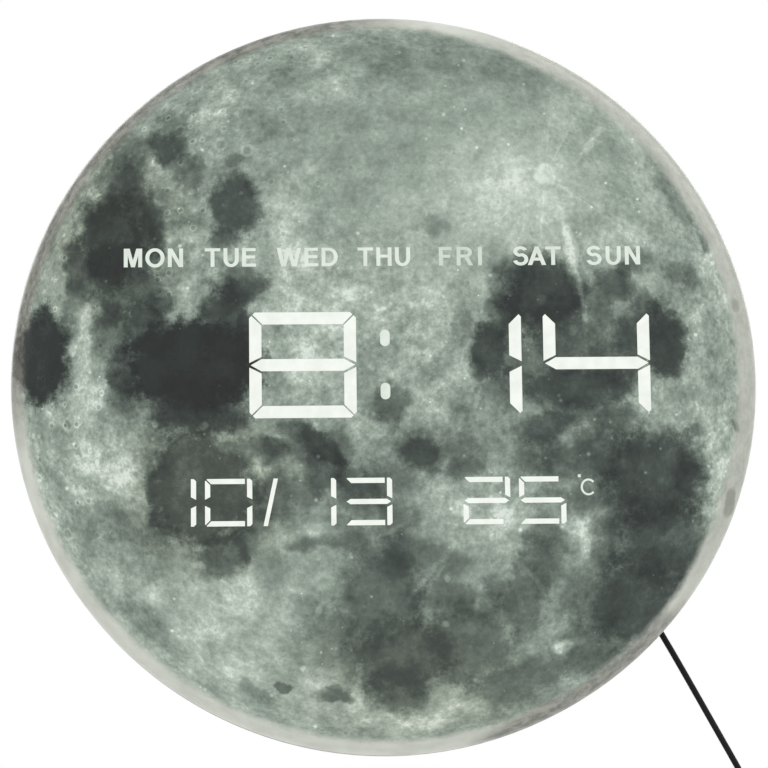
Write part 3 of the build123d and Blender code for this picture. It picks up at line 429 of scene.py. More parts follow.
# Turn round the clock and height in degrees, distance and size in metres, power in watts
LAMPS = (
    ("key_lamp", -48, 42, 1.9, 1.3, 9.5),
    ("side_lamp", 52, 40, 1.9, 1.3, 8.0),
    ("top_lamp", 5, 74, 1.8, 1.6, 4.0),
    ("back_lamp_left", -140, 28, 1.8, 1.3, 7.0),
    ("back_lamp_right", 140, 34, 1.8, 1.3, 7.0),
)


def outward(turn, rise):
    """The direction from the clock that has this turn round it, from the front, and this height angle."""
    return Vector((math.sin(turn) * math.cos(rise), -math.cos(turn) * math.cos(rise), math.sin(rise)))


class CLOCK_OT_stage(bpy.types.Operator):
    """Sets the camera, lamps, floor and background"""

    bl_idname = "clock.stage"
    bl_label = "Camera and lamps"

    def execute(self, context):
        stage = context.scene.clock_stage
        turn, rise, roll = stage.azimuth, stage.elevation, stage.roll
        out = outward(turn, rise)
        level_side = (-out).cross(Vector((0, 0, 1))).normalized()
        level_up = level_side.cross(-out)
        side = level_side * math.cos(roll) - level_up * math.sin(roll)
        upward = level_side * math.sin(roll) + level_up * math.cos(roll)
        data = bpy.data.cameras.new("photo_camera")
        data.sensor_width = FILM_WIDTH
        data.lens = stage.focal * FILM_WIDTH
        camera = bpy.data.objects.new("photo_camera", data)
        context.scene.collection.objects.link(camera)
        facing = Matrix((side, upward, out)).transposed().to_4x4()
        camera.matrix_world = Matrix.Translation(CAMERA_AIM * MM + out * stage.distance) @ facing
        context.scene.camera = camera

        for name, around, height, away, size, power in LAMPS:
            spot = outward(math.radians(around), math.radians(height))
            lamp = bpy.data.lights.new(name, "AREA")
            lamp.shape = "DISK"
            lamp.size = size
            lamp.energy = power * stage.lamp_level
            piece = bpy.data.objects.new(name, lamp)
            piece.location = DISC_MIDDLE * MM + spot * away
            piece.rotation_euler = spot.to_track_quat("Z", "Y").to_euler()
            piece.visible_camera = False
            context.scene.collection.objects.link(piece)

        world = bpy.data.worlds.new("studio")
        world.use_nodes = True
        context.scene.world = world
        tree = world.node_tree
        room = tree.nodes["Background"]
        room.inputs["Color"].default_value = (1, 1, 1, 1)
        seen = self.white_where_seen(tree)
        level = tree.nodes.new("ShaderNodeMapRange")
        level.inputs["To Min"].default_value = stage.ambient_level
        level.inputs["To Max"].default_value = 1.0
        tree.links.new(seen, level.inputs["Value"])
        tree.links.new(level.outputs["Result"], room.inputs["Strength"])

        floor = bpy.data.meshes.new("studio_floor")
        sides = ((-1, -1), (1, -1), (1, 1), (-1, 1))
        corners = [(x * FLOOR_REACH, y * FLOOR_REACH, FLOOR_LEVEL * MM) for x, y in sides]
        floor.from_pydata(corners, [], [(0, 1, 2, 3)])
        floor.materials.append(self.floor_finish())
        ground = bpy.data.objects.new("studio_floor", floor)
        context.scene.collection.objects.link(ground)
        ground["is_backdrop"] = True
        context.scene.view_settings.view_transform = "Standard"
        return {"FINISHED"}

    def white_where_seen(self, tree):
        """The share of white background that a ray meets: all of it for the camera, mirrors and glass."""
        paths = tree.nodes.new("ShaderNodeLightPath")
        seen = paths.outputs["Is Camera Ray"]
        for kind in ("Is Glossy Ray", "Is Transmission Ray"):
            either = tree.nodes.new("ShaderNodeMath")
            either.operation = "MAXIMUM"
            tree.links.new(seen, either.inputs[0])
            tree.links.new(paths.outputs[kind], either.inputs[1])
            seen = either.outputs[0]
        return seen

    def floor_finish(self):
        """A pale floor that keeps a faint shadow: half of it is lit, half glows, and a little more glow is added."""
        made = Shader("studio_floor", base_color=(0.9, 0.9, 0.9), roughness=0.9, specular_ior_level=0.1)
        surface = Tap(made, made.surface.outputs[0])
        share = made.node("MixShader", {}, {0: 0.5, 1: surface, 2: made.node("Emission", {}, {"Strength": 0.55})})
        both = made.node("AddShader", {}, {0: share, 1: made.node("Emission", {}, {"Strength": 0.24})})
        made.tree.links.new(both.socket, made.tree.nodes["Material Output"].inputs["Surface"])
        return made.material


# ------------------------------------------------------------------------ lead

# The lead's way in millimetres: out of the strain relief, down to the floor and to the coil
LEAD_POINTS = [
    (100.374, -8.5, -170.727),
    (104.2, -8.5, -174.0),
    (136.3, -8.85, -233.4),
    (143.0, -8.9, -245.9),
    (147.0, -9.2, -259.5),
    (142.5, -9.1, -271.5),
    (126.3, -9.0, -278.85),
    (108.0, -9.0, -278.85),
]
# and from the coil to the plug
TAIL_POINTS = [(103.0, -9.0, -287.85), (93.0, -9.0, -287.85), (82.0, -10.5, -286.0), (72.0, -10.5, -286.0)]
COIL_MIDDLE = Vector((105.5, -28.5, 0.0))
COIL_TOP = -278.85
COIL_OUTER = 19.5
COIL_PITCH = 3.0
COIL_LAYERS = 4
COIL_QUARTERS = 14
# A spline cuts inside its control points, so they stand this much further out
COIL_SPREAD = 1.017


def coil_points():
    """Control points of the coil: layers of a spiral, in and out by turns, each a thickness lower."""
    steps = 4
    total = COIL_LAYERS * COIL_QUARTERS
    points = []
    for index in range(1, total * steps):
        quarter = index / steps
        layer, along = divmod(quarter, COIL_QUARTERS)
        inward = along if layer % 2 == 0 else COIL_QUARTERS - along
        radius = (COIL_OUTER - inward * COIL_PITCH / 4) * COIL_SPREAD
        seam = round(quarter / COIL_QUARTERS)
        if 0 < seam < COIL_LAYERS:
            step = min(1.0, max(0.0, (quarter - seam * COIL_QUARTERS + 1.0) / 2.0))
            step = step * step * (3 - 2 * step) + seam - 1
        else:
            step = layer
        turn = math.radians(90 + quarter * 90)
        points.append(
            (
                COIL_MIDDLE.x + radius * math.cos(turn),
                COIL_MIDDLE.y + radius * math.sin(turn),
                COIL_TOP - step * COIL_PITCH,
            )
        )
    return points


class CLOCK_OT_lead(bpy.types.Operator):
    """Lays the lead from the strain relief to its plug"""

    bl_idname = "clock.lead"
    bl_label = "Lead"

    def execute(self, context):
        lead = context.scene.clock_lead
        points = LEAD_POINTS + coil_points() + TAIL_POINTS
        curve = bpy.data.curves.new("lead", "CURVE")
        curve.dimensions = "3D"
        spline = curve.splines.new("NURBS")
        spline.points.add(len(points) - 1)
        for point, spot in zip(spline.points, points):
            point.co = (*(Vector(spot) * MM), 1.0)
        spline.order_u = 3
        spline.use_endpoint_u = True
        curve.resolution_u = 6
        curve.bevel_depth = lead.diameter / 2
        curve.bevel_resolution = 4
        curve.use_fill_caps = True
        piece = bpy.data.objects.new("lead", curve)
        context.scene.collection.objects.link(piece)
        color = tuple(context.scene.clock_finish.lead_color)
        curve.materials.append(plain_finish("lead_sheath", color, 0.6, 0.5, 0.01, 0.1, specular_ior_level=0.2))
        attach(piece, "clock")
        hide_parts("power_cord", "cord_coil", "cord_tail")
        tuple(Vector(LEAD_POINTS[0]) * MM)
        return {"FINISHED"}


# Waves of the weave in radians per millimetre, and the strap's sizes in millimetres
STRAP_THREADS = 7.0
STRAP_THICKNESS = 0.6
STRAP_CORNER = 2.0
STRAP_CORNER_STEPS = 8
STRAP_EDGE = 0.35
STRAP_EDGE_DIP = 0.22


class CLOCK_OT_tie(bpy.types.Operator):
    """Wraps the woven strap round the coil"""

    bl_idname = "clock.tie"
    bl_label = "Strap tie"

    def execute(self, context):
        finish = Shader("woven_strap", roughness=0.9)
        across, along, up = finish.split(finish.place())
        weave = (across * STRAP_THREADS).wave() * (up * STRAP_THREADS + along * STRAP_THREADS).wave()
        finish.set("Base Color", finish.blend(weave.ease(-1.0, 1.0), srgb(24, 24, 26), srgb(52, 52, 56)))
        finish.relief(weave, 0.12)
        add_piece("strap_tie", self.band(), finish.material, stands_for=("coil_tie",))
        return {"FINISHED"}

    def band(self):
        """A closed loop of strap with rounded corners and thinned edges."""
        low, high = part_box("coil_tie")
        low, high = Vector(low) / MM, Vector(high) / MM
        loop = []
        for sign_along, sign_up, start in ((1, 1, 0), (-1, 1, 90), (-1, -1, 180), (1, -1, 270)):
            along = (high.y if sign_along > 0 else low.y) - sign_along * STRAP_CORNER
            up = (high.z if sign_up > 0 else low.z) - sign_up * STRAP_CORNER
            for step in range(STRAP_CORNER_STEPS + 1):
                turn = math.radians(start + 90 * step / STRAP_CORNER_STEPS)
                loop.append((along, up, math.cos(turn), math.sin(turn)))
        # Across the strap: x, and how far the face stands in from the strap's full thickness
        section = (
            (low.x, STRAP_EDGE_DIP),
            (low.x + STRAP_EDGE, 0.0),
            ((low.x + high.x) / 2, 0.0),
            (high.x - STRAP_EDGE, 0.0),
            (high.x, STRAP_EDGE_DIP),
        )
        work = bmesh.new()
        rings = []
        for along, up, out_along, out_up in loop:
            outer = [(x, STRAP_CORNER - dip) for x, dip in section]
            inner = [(x, STRAP_CORNER - STRAP_THICKNESS + dip) for x, dip in reversed(section)]
            spots = [Vector((x, along + out_along * reach, up + out_up * reach)) for x, reach in outer + inner]
            rings.append([work.verts.new(spot * MM) for spot in spots])
        for index, ring in enumerate(rings):
            other = rings[(index + 1) % len(rings)]
            for spot in range(len(ring)):
                after = (spot + 1) % len(ring)
                work.faces.new((ring[spot], ring[after], other[after], other[spot]))
        return finished(work, "strap_tie")


# ---------------------------------------------------------------- printed moon

# Patches of the print: across and up from the middle in millimetres, half width, half height, turn in
# degrees, softness of the edge and strength
DARK_PATCHES = [
    (-87.5, 95, 9, 6.5, -30, 0.6, 0.58), (-106.6, 80.8, 10.5, 13.1, 0, 0.8, 0.45),
    (-109.3, 59, 14.5, 19.6, 8, 0.5, 0.72), (-96.9, 63, 5.7, 16.4, 10, 0.6, 0.5),
    (-112.1, 41.4, 7.3, 10.6, -20, 0.7, 0.45), (-59.9, 71.5, 10.9, 13.9, 0, 0.5, 0.62),
    (-64.3, 57.5, 5.7, 4.9, 0, 0.7, 0.4), (-52.2, 77.2, 4.8, 3.3, 0, 0.7, 0.3), (-58, 38.6, 12.9, 8.2, -10, 0.6, 0.5),
    (-69.2, 47.7, 4, 5.7, 0, 0.8, 0.25), (-77.5, 6.5, 28, 19, 0, 0.3, 0.88), (-93.5, 19.5, 13, 12, 0, 0.45, 0.55),
    (-63.7, 21.9, 12.1, 17.2, 0, 0.5, 0.55), (-56, 11, 5.5, 18, 0, 0.4, 0.6), (-111.3, 26.3, 5.7, 7.4, 0, 0.7, 0.35),
    (-138, 9.5, 12, 18.5, 3, 0.35, 0.86), (-78.2, -9.2, 22.6, 13.9, 0, 0.6, 0.62),
    (-102.9, -6.2, 7.3, 9, 30, 0.7, 0.4), (-72.7, -43.4, 22.6, 22.9, 0, 0.3, 0.55),
    (-65.6, -69.8, 12.1, 9.8, 0, 0.5, 0.48), (-90.1, -40.4, 6.5, 12.3, 0, 0.7, 0.2),
    (-106, -54, 9, 10, -20, 0.9, 0.25), (-94.1, -67.5, 16.2, 5.7, -20, 0.8, 0.22),
    (-25.6, -26.9, 12.1, 5.3, -48, 0.6, 0.62), (-35.1, -20.8, 9.7, 4.9, -10, 0.7, 0.4),
    (-16.5, -37, 6.5, 4.9, -30, 0.7, 0.45), (-45.6, -28, 5.3, 3.7, 0, 0.7, 0.35),
    (-34.5, -44.9, 11.3, 7.4, -20, 0.9, 0.25), (-33.5, -66.1, 8.9, 3.7, 5, 0.8, 0.35),
    (-16.8, -63, 10.5, 8.2, 0, 0.7, 0.42), (-8.7, -47.1, 7.3, 9, 0, 0.8, 0.28), (3, -10, 7, 9, -20, 0.6, 0.42),
    (13.5, -30, 11, 8, -25, 0.6, 0.58), (10, -26, 10, 8, 0, 0.9, 0.2), (63.5, 34, 17, 17, 0, 0.5, 0.72),
    (55, 45, 9.5, 8.5, 20, 0.6, 0.35), (43, 12, 8.5, 12.5, 0, 0.5, 0.62), (46.5, 25.3, 8.1, 12.3, -25, 0.6, 0.4),
    (70.5, 19, 12.1, 16.4, 0, 0.6, 0.38), (92, 37.3, 10.5, 7.4, -20, 0.7, 0.45), (82.9, 31.2, 8.1, 8.2, 0, 0.8, 0.3),
    (103.5, 46.7, 6.5, 4.9, 0, 0.8, 0.3), (112.8, 13.8, 8.1, 16.4, 5, 0.45, 0.72),
    (102.8, 18.8, 8.1, 10.6, 0, 0.7, 0.35), (123.6, 39.2, 4, 4.9, 0, 0.8, 0.25), (78.1, -3.4, 28.3, 9, 0, 0.6, 0.62),
    (45.9, -7.3, 8.9, 10.6, 0, 0.6, 0.35), (90.4, 4.6, 16.2, 10.6, 0, 0.8, 0.4),
    (63.7, -20.7, 12.1, 7.4, 10, 0.7, 0.45), (81.5, -31.8, 24.2, 10.6, 0, 0.7, 0.5),
    (107.4, -41, 21, 20, 0, 0.45, 0.62), (122.5, -38, 8, 14, 10, 0.5, 0.35), (110.3, -66.1, 20.2, 20.4, 0, 0.5, 0.55),
    (93, -52, 10.5, 16.4, 0, 0.8, 0.35), (100.1, -90, 22.6, 18.8, 30, 0.5, 0.55),
    (84.2, -89.8, 16.2, 16.4, 0, 0.8, 0.3), (68.6, -73.8, 12.1, 12.3, 0, 0.9, 0.25), (63, -49.7, 6, 5, 0, 0.9, 0.15),
    (-3.2, -87, 17.8, 21.3, 0, 0.55, 0.48), (-18, -104, 17, 18, 0, 0.6, 0.22), (5, -112, 22, 16, 0, 0.5, 0.46),
    (4.3, -124.6, 13.7, 9.8, 0, 0.6, 0.4), (30.2, -105.1, 20.2, 16.4, 0, 0.6, 0.4),
    (26.5, -89.3, 20.2, 9, -10, 0.8, 0.38), (16.8, -73.3, 20.2, 8.2, -10, 0.9, 0.3),
    (4.9, -71.2, 8.9, 10.6, 0, 0.8, 0.28), (51.7, -121.1, 24.2, 9, 22, 0.6, 0.36),
    (79.7, -109.6, 16.2, 12.3, 40, 0.7, 0.36), (44.4, -89.4, 8.9, 7.4, 0, 0.9, 0.25),
    (-40.3, -122.9, 4, 2.3, 0, 0.35, 0.4), (-20.6, -126.7, 8.1, 2.9, -4, 0.6, 0.4),
    (-96.1, -98, 13.7, 6, -40, 0.7, 0.22), (-102, -90.4, 7.3, 4.9, -20, 0.7, 0.1), (-50, -127, 9, 3, -25, 0.8, 0.2),
    (117.7, 75.5, 4, 19.6, 28, 0.7, 0.32), (129.7, 53.5, 2.8, 4.1, 20, 0.6, 0.4),
    (128.3, 61.8, 2.4, 12.3, 24, 0.8, 0.2), (141.6, 28.8, 1.6, 2.5, 20, 0.6, 0.4),
    (44.3, 130.1, 28.3, 10.6, -8, 0.9, 0.16), (7.6, 131, 24.2, 9, 0, 0.9, 0.12),
    (72.6, 116.1, 24.2, 9.8, -30, 0.9, 0.14), (15.2, 93.5, 12.1, 5.7, 0, 0.9, 0.1),
    (-33.4, 106.1, 20.2, 6.5, 20, 0.9, 0.1), (136.8, -50.3, 2.4, 5.7, -14, 0.35, 0.45),
    (140.1, -20.5, 1.2, 3.3, 0, 0.6, 0.45), (125.9, -22, 4, 3.3, 0, 0.7, 0.25), (21.6, 62, 5.7, 4.9, 0, 0.8, 0.22),
    (-101, 95, 9, 9, 0, 0.8, 0.28), (-106, 46.5, 16, 9.5, 0, 0.5, 0.6), (-93, 65, 4.6, 12, 5, 0.6, 0.5),
    (-112, 62, 8, 13, 0, 0.8, 0.28), (-107.5, 31, 9, 7.5, 0, 0.7, 0.45), (-90, 30.5, 7, 5, 0, 0.6, 0.5),
    (-61, 33.5, 8.5, 7.5, 35, 0.6, 0.5), (-72, -5, 20, 6.5, 0, 0.5, 0.35), (-74, -15, 20, 8, 0, 0.6, 0.42),
    (-10, -46, 12, 12, 0, 0.8, 0.34), (1, -41.5, 14, 7, 0, 0.8, 0.3), (-52, -56, 8, 9, 0, 0.7, 0.42),
    (58, 7, 11, 9, 0, 0.7, 0.36), (88, 24, 8, 6, 0, 0.8, 0.25), (97.5, 42, 4, 4.5, 0, 0.6, 0.35),
    (33, -27, 14, 10, 0, 0.9, 0.3), (76, -51.5, 10, 8, 0, 0.9, 0.28), (60, -75, 8, 14, 0, 0.8, 0.34),
    (92, -18, 12, 7, 0, 0.7, 0.38), (-36, -30, 9, 8, 0, 0.8, 0.3), (-122, 44, 7, 13, 10, 0.6, 0.5),
    (-124, 34, 6, 7, 0, 0.6, 0.35), (-98, 37, 9, 8, 0, 0.5, 0.5), (-85, 42, 7, 8, -20, 0.8, 0.28),
    (-92, 56, 5, 10, 0, 0.7, 0.35), (-101, 79, 8, 13, 0, 0.6, 0.42), (-109, 19, 9, 13, 0, 0.6, 0.36),
    (-105, 4, 6, 10, 0, 0.5, 0.5), (-79, 83, 6, 9, 20, 0.8, 0.3), (-60, 89, 6, 3.5, 0, 0.7, 0.3),
    (-66, 56, 6, 5, 0, 0.8, 0.2), (-92, -29, 8, 9, 0, 0.7, 0.35), (-89, -59, 8, 7, 0, 0.7, 0.36),
    (-52, -29, 11, 6, -10, 0.7, 0.4), (-45, -48, 8, 12, 0, 0.7, 0.4), (-25, -38, 10, 9, -20, 0.6, 0.46),
    (-18, -26, 8, 7, 0, 0.7, 0.38), (3, -57, 10, 9, 0, 0.7, 0.38), (31, -37, 7, 6, 0, 0.7, 0.36),
    (57, -35, 9, 7, 0, 0.8, 0.34), (83, -47, 7, 6, 0, 0.8, 0.2), (86, -67, 7, 12, 0, 0.6, 0.4),
    (62, -63, 7, 9, 0, 0.8, 0.32), (54, -88, 10, 18, 0, 0.7, 0.4), (-46, -78, 7, 11, 10, 0.9, 0.26),
    (47, 39, 7, 12, 0, 0.8, 0.32), (51.5, 23, 6, 9, 0, 0.6, 0.4), (76, 14, 22, 9, 0, 0.7, 0.22),
    (106, 28, 6, 8, 0, 0.7, 0.42), (99, 15, 7, 10, 0, 0.7, 0.34), (128, -4, 6, 10, 0, 0.8, 0.2),
    (120, 42, 9, 6, 0, 0.7, 0.26), (74, -14, 11, 6, 0, 0.7, 0.36), (-69, -7, 11, 5, 0, 0.8, 0.2),
    (-35, 124, 20, 7, 22, 0.9, 0.14), (-76, 88, 4, 4, 0, 0.7, 0.32), (-78, 61, 8, 8, 0, 0.9, 0.14),
    (-127, 22, 5, 8, 0, 0.7, 0.35), (-96, 26, 8, 6, 0, 0.7, 0.32), (-106, -4, 6, 8, 0, 0.7, 0.3),
    (38, 2, 4, 8, 0, 0.7, 0.42), (42, -82, 6, 5, 0, 0.8, 0.32), (-55, -66, 6, 8, 0, 0.6, 0.32),
    (-31, -92, 8, 6, 0, 0.8, 0.26), (-38, -106, 6, 9, 0, 0.8, 0.2), (-97, -38, 4, 6, 0, 0.7, 0.25),
    (-86, 105, 7, 5, 0, 0.8, 0.25), (-86, 70, 8, 11, 0, 0.8, 0.24), (-82, 52, 5, 5, 0, 0.7, 0.3),
    (-125, 53, 6, 6, 0, 0.8, 0.3), (-73, 34, 5, 7, 0, 0.7, 0.22), (31, 21, 5, 8, 0, 0.7, 0.3),
    (34, -15, 9, 5, 0, 0.8, 0.25), (88, 18, 8, 7, 0, 0.8, 0.2), (27, -120, 8, 4, 0, 0.8, 0.24),
]
PALE_PATCHES = [
    (65.8, 82.8, 4.6, 4.8, 0, 0.5, 0.11), (65.8, 82.8, 24.2, 20.4, 0, 1, 0.12), (49.4, 74.6, 28.3, 16.4, 15, 1, 0.11),
    (23.1, 76.8, 36.4, 10.6, 6, 1, 0.08), (14.7, 60.4, 24.2, 12.3, 0, 1, 0.06),
    (-115.4, 77.5, 5.7, 3.7, 40, 0.9, 0.3), (-120.8, 14.2, 5.3, 24.5, 5, 0.8, 0.2),
    (-117.3, 32.4, 8.1, 9, 0, 0.9, 0.12), (-117.2, -8.1, 8.9, 13.9, 0, 0.9, 0.16),
    (-106.8, 3.1, 4, 6.5, 0, 0.8, 0.18), (-110, -34.3, 16.2, 16.4, 0, 0.9, 0.2),
    (-125.9, -24.1, 12.1, 16.4, 0, 1, 0.08), (-129.7, -48.1, 9.7, 16.4, 20, 1, 0.06),
    (-80.4, 47.7, 10.5, 12.3, 0, 0.8, 0.12), (-77, 31, 3.5, 8, 0, 0.8, 0.14), (-57.9, 54.6, 9.7, 20.4, 10, 0.9, 0.08),
    (-61.5, -26.6, 9.7, 4.1, -28, 0.8, 0.3), (-53.5, -31.9, 5.7, 3.3, -35, 0.8, 0.25),
    (-38.8, -33.6, 5.7, 3.7, -20, 0.8, 0.22), (-34.3, -12.7, 20.2, 5.7, 0, 1, 0.1),
    (-32.1, 11.6, 20.2, 12.3, 0, 1, 0.12), (-16, 19.6, 12.1, 24.5, 0, 1, 0.08), (-68, 54.6, 5.7, 4.1, 0, 0.9, 0.08),
    (-64.5, -92.4, 20.2, 13.9, 0, 0.9, 0.2), (-78.3, -100.9, 12.1, 9.8, -20, 0.9, 0.16),
    (-44.9, -108.3, 10.5, 12.3, -20, 0.9, 0.16), (-49.9, -81.4, 16.2, 9.8, 25, 0.9, 0.14),
    (-94.1, -84.2, 12.1, 6.5, -20, 0.9, 0.12), (-70.5, -115.9, 12.1, 5.7, -20, 0.9, 0.1),
    (-24.9, -81.3, 5.3, 4.5, 0, 0.6, 0.14), (-14.9, -73, 8.9, 6.5, 0, 0.9, 0.12),
    (-19.1, -92.8, 5.7, 4.1, 0, 0.8, 0.1), (-35.2, -128.1, 8.1, 3.7, -20, 0.9, 0.15),
    (-34.9, -88.7, 6.5, 8.2, 0, 0.9, 0.1), (17.8, -9.1, 13.7, 8.2, 15, 0.9, 0.14), (27.9, -1, 8.9, 5.7, 0, 0.9, 0.1),
    (5.9, 5.2, 12.1, 12.3, 0, 1, 0.06), (77.3, -22.1, 8.1, 4.9, 50, 0.8, 0.22), (71.6, -25.6, 4, 3.3, 0, 0.8, 0.15),
    (35.6, -21.3, 8.1, 12.3, 0, 1, 0.08), (37, -54.3, 17.8, 12.3, 10, 0.9, 0.13),
    (50.8, -63.6, 13.7, 12.3, 0, 0.9, 0.12), (29.1, -49.4, 20.2, 9.8, 0, 1, 0.1),
    (17.2, -47.3, 16.2, 10.6, 0, 1, 0.08), (78.4, -63.9, 10.5, 12.3, 20, 0.8, 0.24),
    (84.9, -55.9, 5.7, 5.7, 0, 0.9, 0.12), (60.6, -73.7, 9.7, 8.2, 0, 0.9, 0.1),
    (69.4, -108.3, 4.8, 2.5, 12, 0.6, 0.42), (66.2, -111.4, 6.5, 5.7, 30, 0.9, 0.2),
    (73.9, -105.6, 5.7, 2, 14, 0.9, 0.2), (23.9, -134, 16, 4.5, 18, 0.7, 0.16), (36, -129, 9, 5.5, 35, 0.8, 0.1),
    (4.1, -137.1, 20.2, 4.9, 0, 0.9, 0.14), (-11.6, -130.7, 8.1, 3.3, 0, 0.9, 0.15),
    (132, -22.1, 5.7, 28.6, 8, 0.8, 0.14), (126.3, -9.9, 6.5, 16.4, 0, 1, 0.1), (123, 18.7, 7.3, 20.4, 0, 1, 0.08),
    (130.9, -74.3, 4, 20.4, -22, 0.8, 0.14), (110.1, -42.1, 3.2, 2.5, 0, 0.8, 0.1),
    (113.1, -80.1, 3.2, 1.6, 15, 0.7, 0.2), (99.2, -125.6, 8.1, 2.5, 30, 1, 0.1),
    (95.8, -35.9, 3.6, 2.9, 0, 0.6, 0.1), (63.1, 31.3, 2.4, 2, 0, 0.6, 0.16), (75.8, 19, 2, 2, 0, 0.6, 0.16),
    (-57.8, 75.6, 1, 1, 0, 0.5, 0.25), (-73, -18.9, 2, 1.8, 0, 0.7, 0.3), (-81.4, -20.4, 1.2, 1.2, 0, 0.7, 0.2),
    (-91.7, -17.9, 1.6, 1.6, 0, 0.7, 0.18), (23.5, -80.5, 1.6, 1.6, 0, 0.6, 0.25),
    (22.8, -98.7, 1.6, 1.6, 0, 0.6, 0.25), (-27.8, -92.7, 1.6, 3.3, -30, 0.6, 0.22),
    (-34.3, -115.5, 1.4, 1.4, 0, 0.6, 0.25), (46.9, -58.4, 4, 5.7, 0, 0.9, 0.12), (-1, 99.8, 24.2, 4.1, 4, 1, 0.06),
    (7, 85.2, 40.4, 3.3, 5, 1, 0.05), (-11.3, 83.2, 24.2, 2.5, 6, 1, 0.05), (-74, 38, 6, 9, 0, 0.9, 0.14),
    (-26, -61, 9, 4.5, 0, 0.8, 0.28), (44, -12, 7, 6, 0, 0.9, 0.2), (75.5, 50, 2.8, 14, 6, 0.9, 0.32),
    (-82, 55, 8, 7, 0, 0.9, 0.12), (-57, 25, 4, 5, 0, 0.7, 0.1), (-106, -41, 12, 13, 0, 0.9, 0.15),
    (-13, -56, 9, 7, 0, 0.8, 0.24), (74, -70, 6, 9, -10, 0.8, 0.2), (38, -91, 3.5, 4, 0, 0.7, 0.3),
    (-58, -115, 12, 7, -30, 0.9, 0.2), (-30, -120, 12, 5, -8, 0.9, 0.16), (-40, -98, 9, 8, 0, 0.9, 0.12),
    (76, 88, 44, 34, 0, 1, 0.08), (58, 66, 32, 14, 10, 1, 0.05), (67, 48, 7, 6, 0, 0.9, 0.12),
    (-40, 50, 12, 16, 0, 1, 0.08), (-47, 31, 12, 6, 0, 0.9, 0.14), (-28, 0, 13, 20, 0, 1, 0.11),
    (8, 30, 26, 24, 0, 1, 0.08), (26, 12, 7, 14, 0, 0.9, 0.1), (-33, 3, 10, 12, 0, 1, 0.08),
    (82, 66, 36, 26, 0, 1, 0.09), (-38, 34, 7, 7, 0, 1, 0.12), (-101, -28, 8, 7, 0, 0.9, 0.16),
    (-122, -30, 7, 7, 0, 0.9, 0.15), (-7, -18, 6, 9, 0, 0.9, 0.14), (46, -30, 5, 5, 0, 0.9, 0.16),
    (54, -38, 4, 4, 0, 0.9, 0.12), (78, -66, 6, 7, 0, 0.9, 0.16), (-22, -64, 7, 5, 0, 0.9, 0.16),
    (-12, -80, 8, 7, 0, 0.9, 0.14), (6, -137, 14, 4, 0, 0.9, 0.14), (-124, 1, 5, 6, 0, 0.9, 0.12),
    (-100, -50, 6, 6, 0, 0.9, 0.12),
    (-36, 56, 9, 30, 0, 1, 0.18), (25, 95, 16, 8, 0, 1, 0.18), (74, 111, 12, 8, -30, 1, 0.22),
    (93, 54, 13, 8, 0, 1, 0.22), (-67, 113, 10, 6, 30, 0.9, 0.2), (-5, -94, 10, 17, 0, 0.9, 0.17),
    (-66, 46, 5, 9, 0, 0.9, 0.2), (68, -110.5, 3.5, 3, 0, 0.8, 0.15), (-118, -46, 10, 5, 0, 0.9, 0.16),
]
# Narrow rays run down and up from the bright crater, and down and to the left of the lower one
NARROW_RAYS = [
    (76.5, 46, 1.6, 27, 12, 1, 0.1), (79.5, 30, 1.3, 22, 6, 1, 0.1), (84.5, 95.5, 1.6, 10, -38, 1, 0.1),
    (15.6, -79.8, 1.4, 17, -39, 1, 0.1), (21.5, -76, 1.3, 13, -32, 1, 0.1), (4.1, -60.1, 1.4, 11, -64, 1, 0.1),
    (58.5, -81.6, 1.3, 9, 35, 1, 0.1), (36, -86, 1.3, 10, -8, 1, 0.1),
]
# A dark oval and a few small spots show on the pale rim
RIM_SPOTS = [
    (137.2, -51, 2.6, 6.2, -16, 0.4, 0.55), (141.6, 28.8, 1.8, 2.8, 20, 0.6, 0.4),
    (140.5, -20.5, 1.3, 3.4, 0, 0.6, 0.5),
]
# Where the ground is calm, and where it is warmer
CALM_PATCHES = [(38, 88, 100, 58, 0, 1, 1), (-20, -100, 110, 55, 0, 1, 0.7)]
WARM_PATCHES = [(-72, -45, 36, 36, 0, 0.9, 1), (10, -122, 50, 30, 0, 0.9, 0.8), (-112, 62, 34, 40, 0, 0.9, 0.8)]
BRIGHT_CRATER = (65.8, 82.8)
LOWER_CRATER = (44.9, -61.6)
# Width of the cells that hold one crater each, shift of the pattern and strength
CRATERS = ((9.0, 0.0, 0.11), (4.6, 40.0, 0.15))
# Width of the cells, shift of the pattern and the share of cells that stay without a speck
SPECKS = ((9.0, 90.0, 0.4), (6.5, 130.0, 0.5), (4.0, 170.0, 0.7))
# The ball that the print shows is a little larger than the disc
BALL_RADIUS = 152.0
# The first two stops are the ends of the ramp
MOON_TONES = (
    (0.0, srgb(18, 22, 21)),
    (1.0, srgb(222, 232, 222)),
    (0.12, srgb(36, 44, 41)),
    (0.3, srgb(68, 78, 72)),
    (0.5, srgb(106, 118, 108)),
    (0.7, srgb(148, 161, 149)),
    (0.85, srgb(182, 194, 182)),
)


def turned(made, place, turn):
    """A place on the face as it reads when the face is turned back by an angle in degrees."""
    if not turn:
        return place
    lean, rise = math.cos(math.radians(turn)), math.sin(math.radians(turn))
    return made.node("CombineXYZ", {}, {0: place.dot((lean, 0.0, rise)), 2: place.dot((-rise, 0.0, lean))})


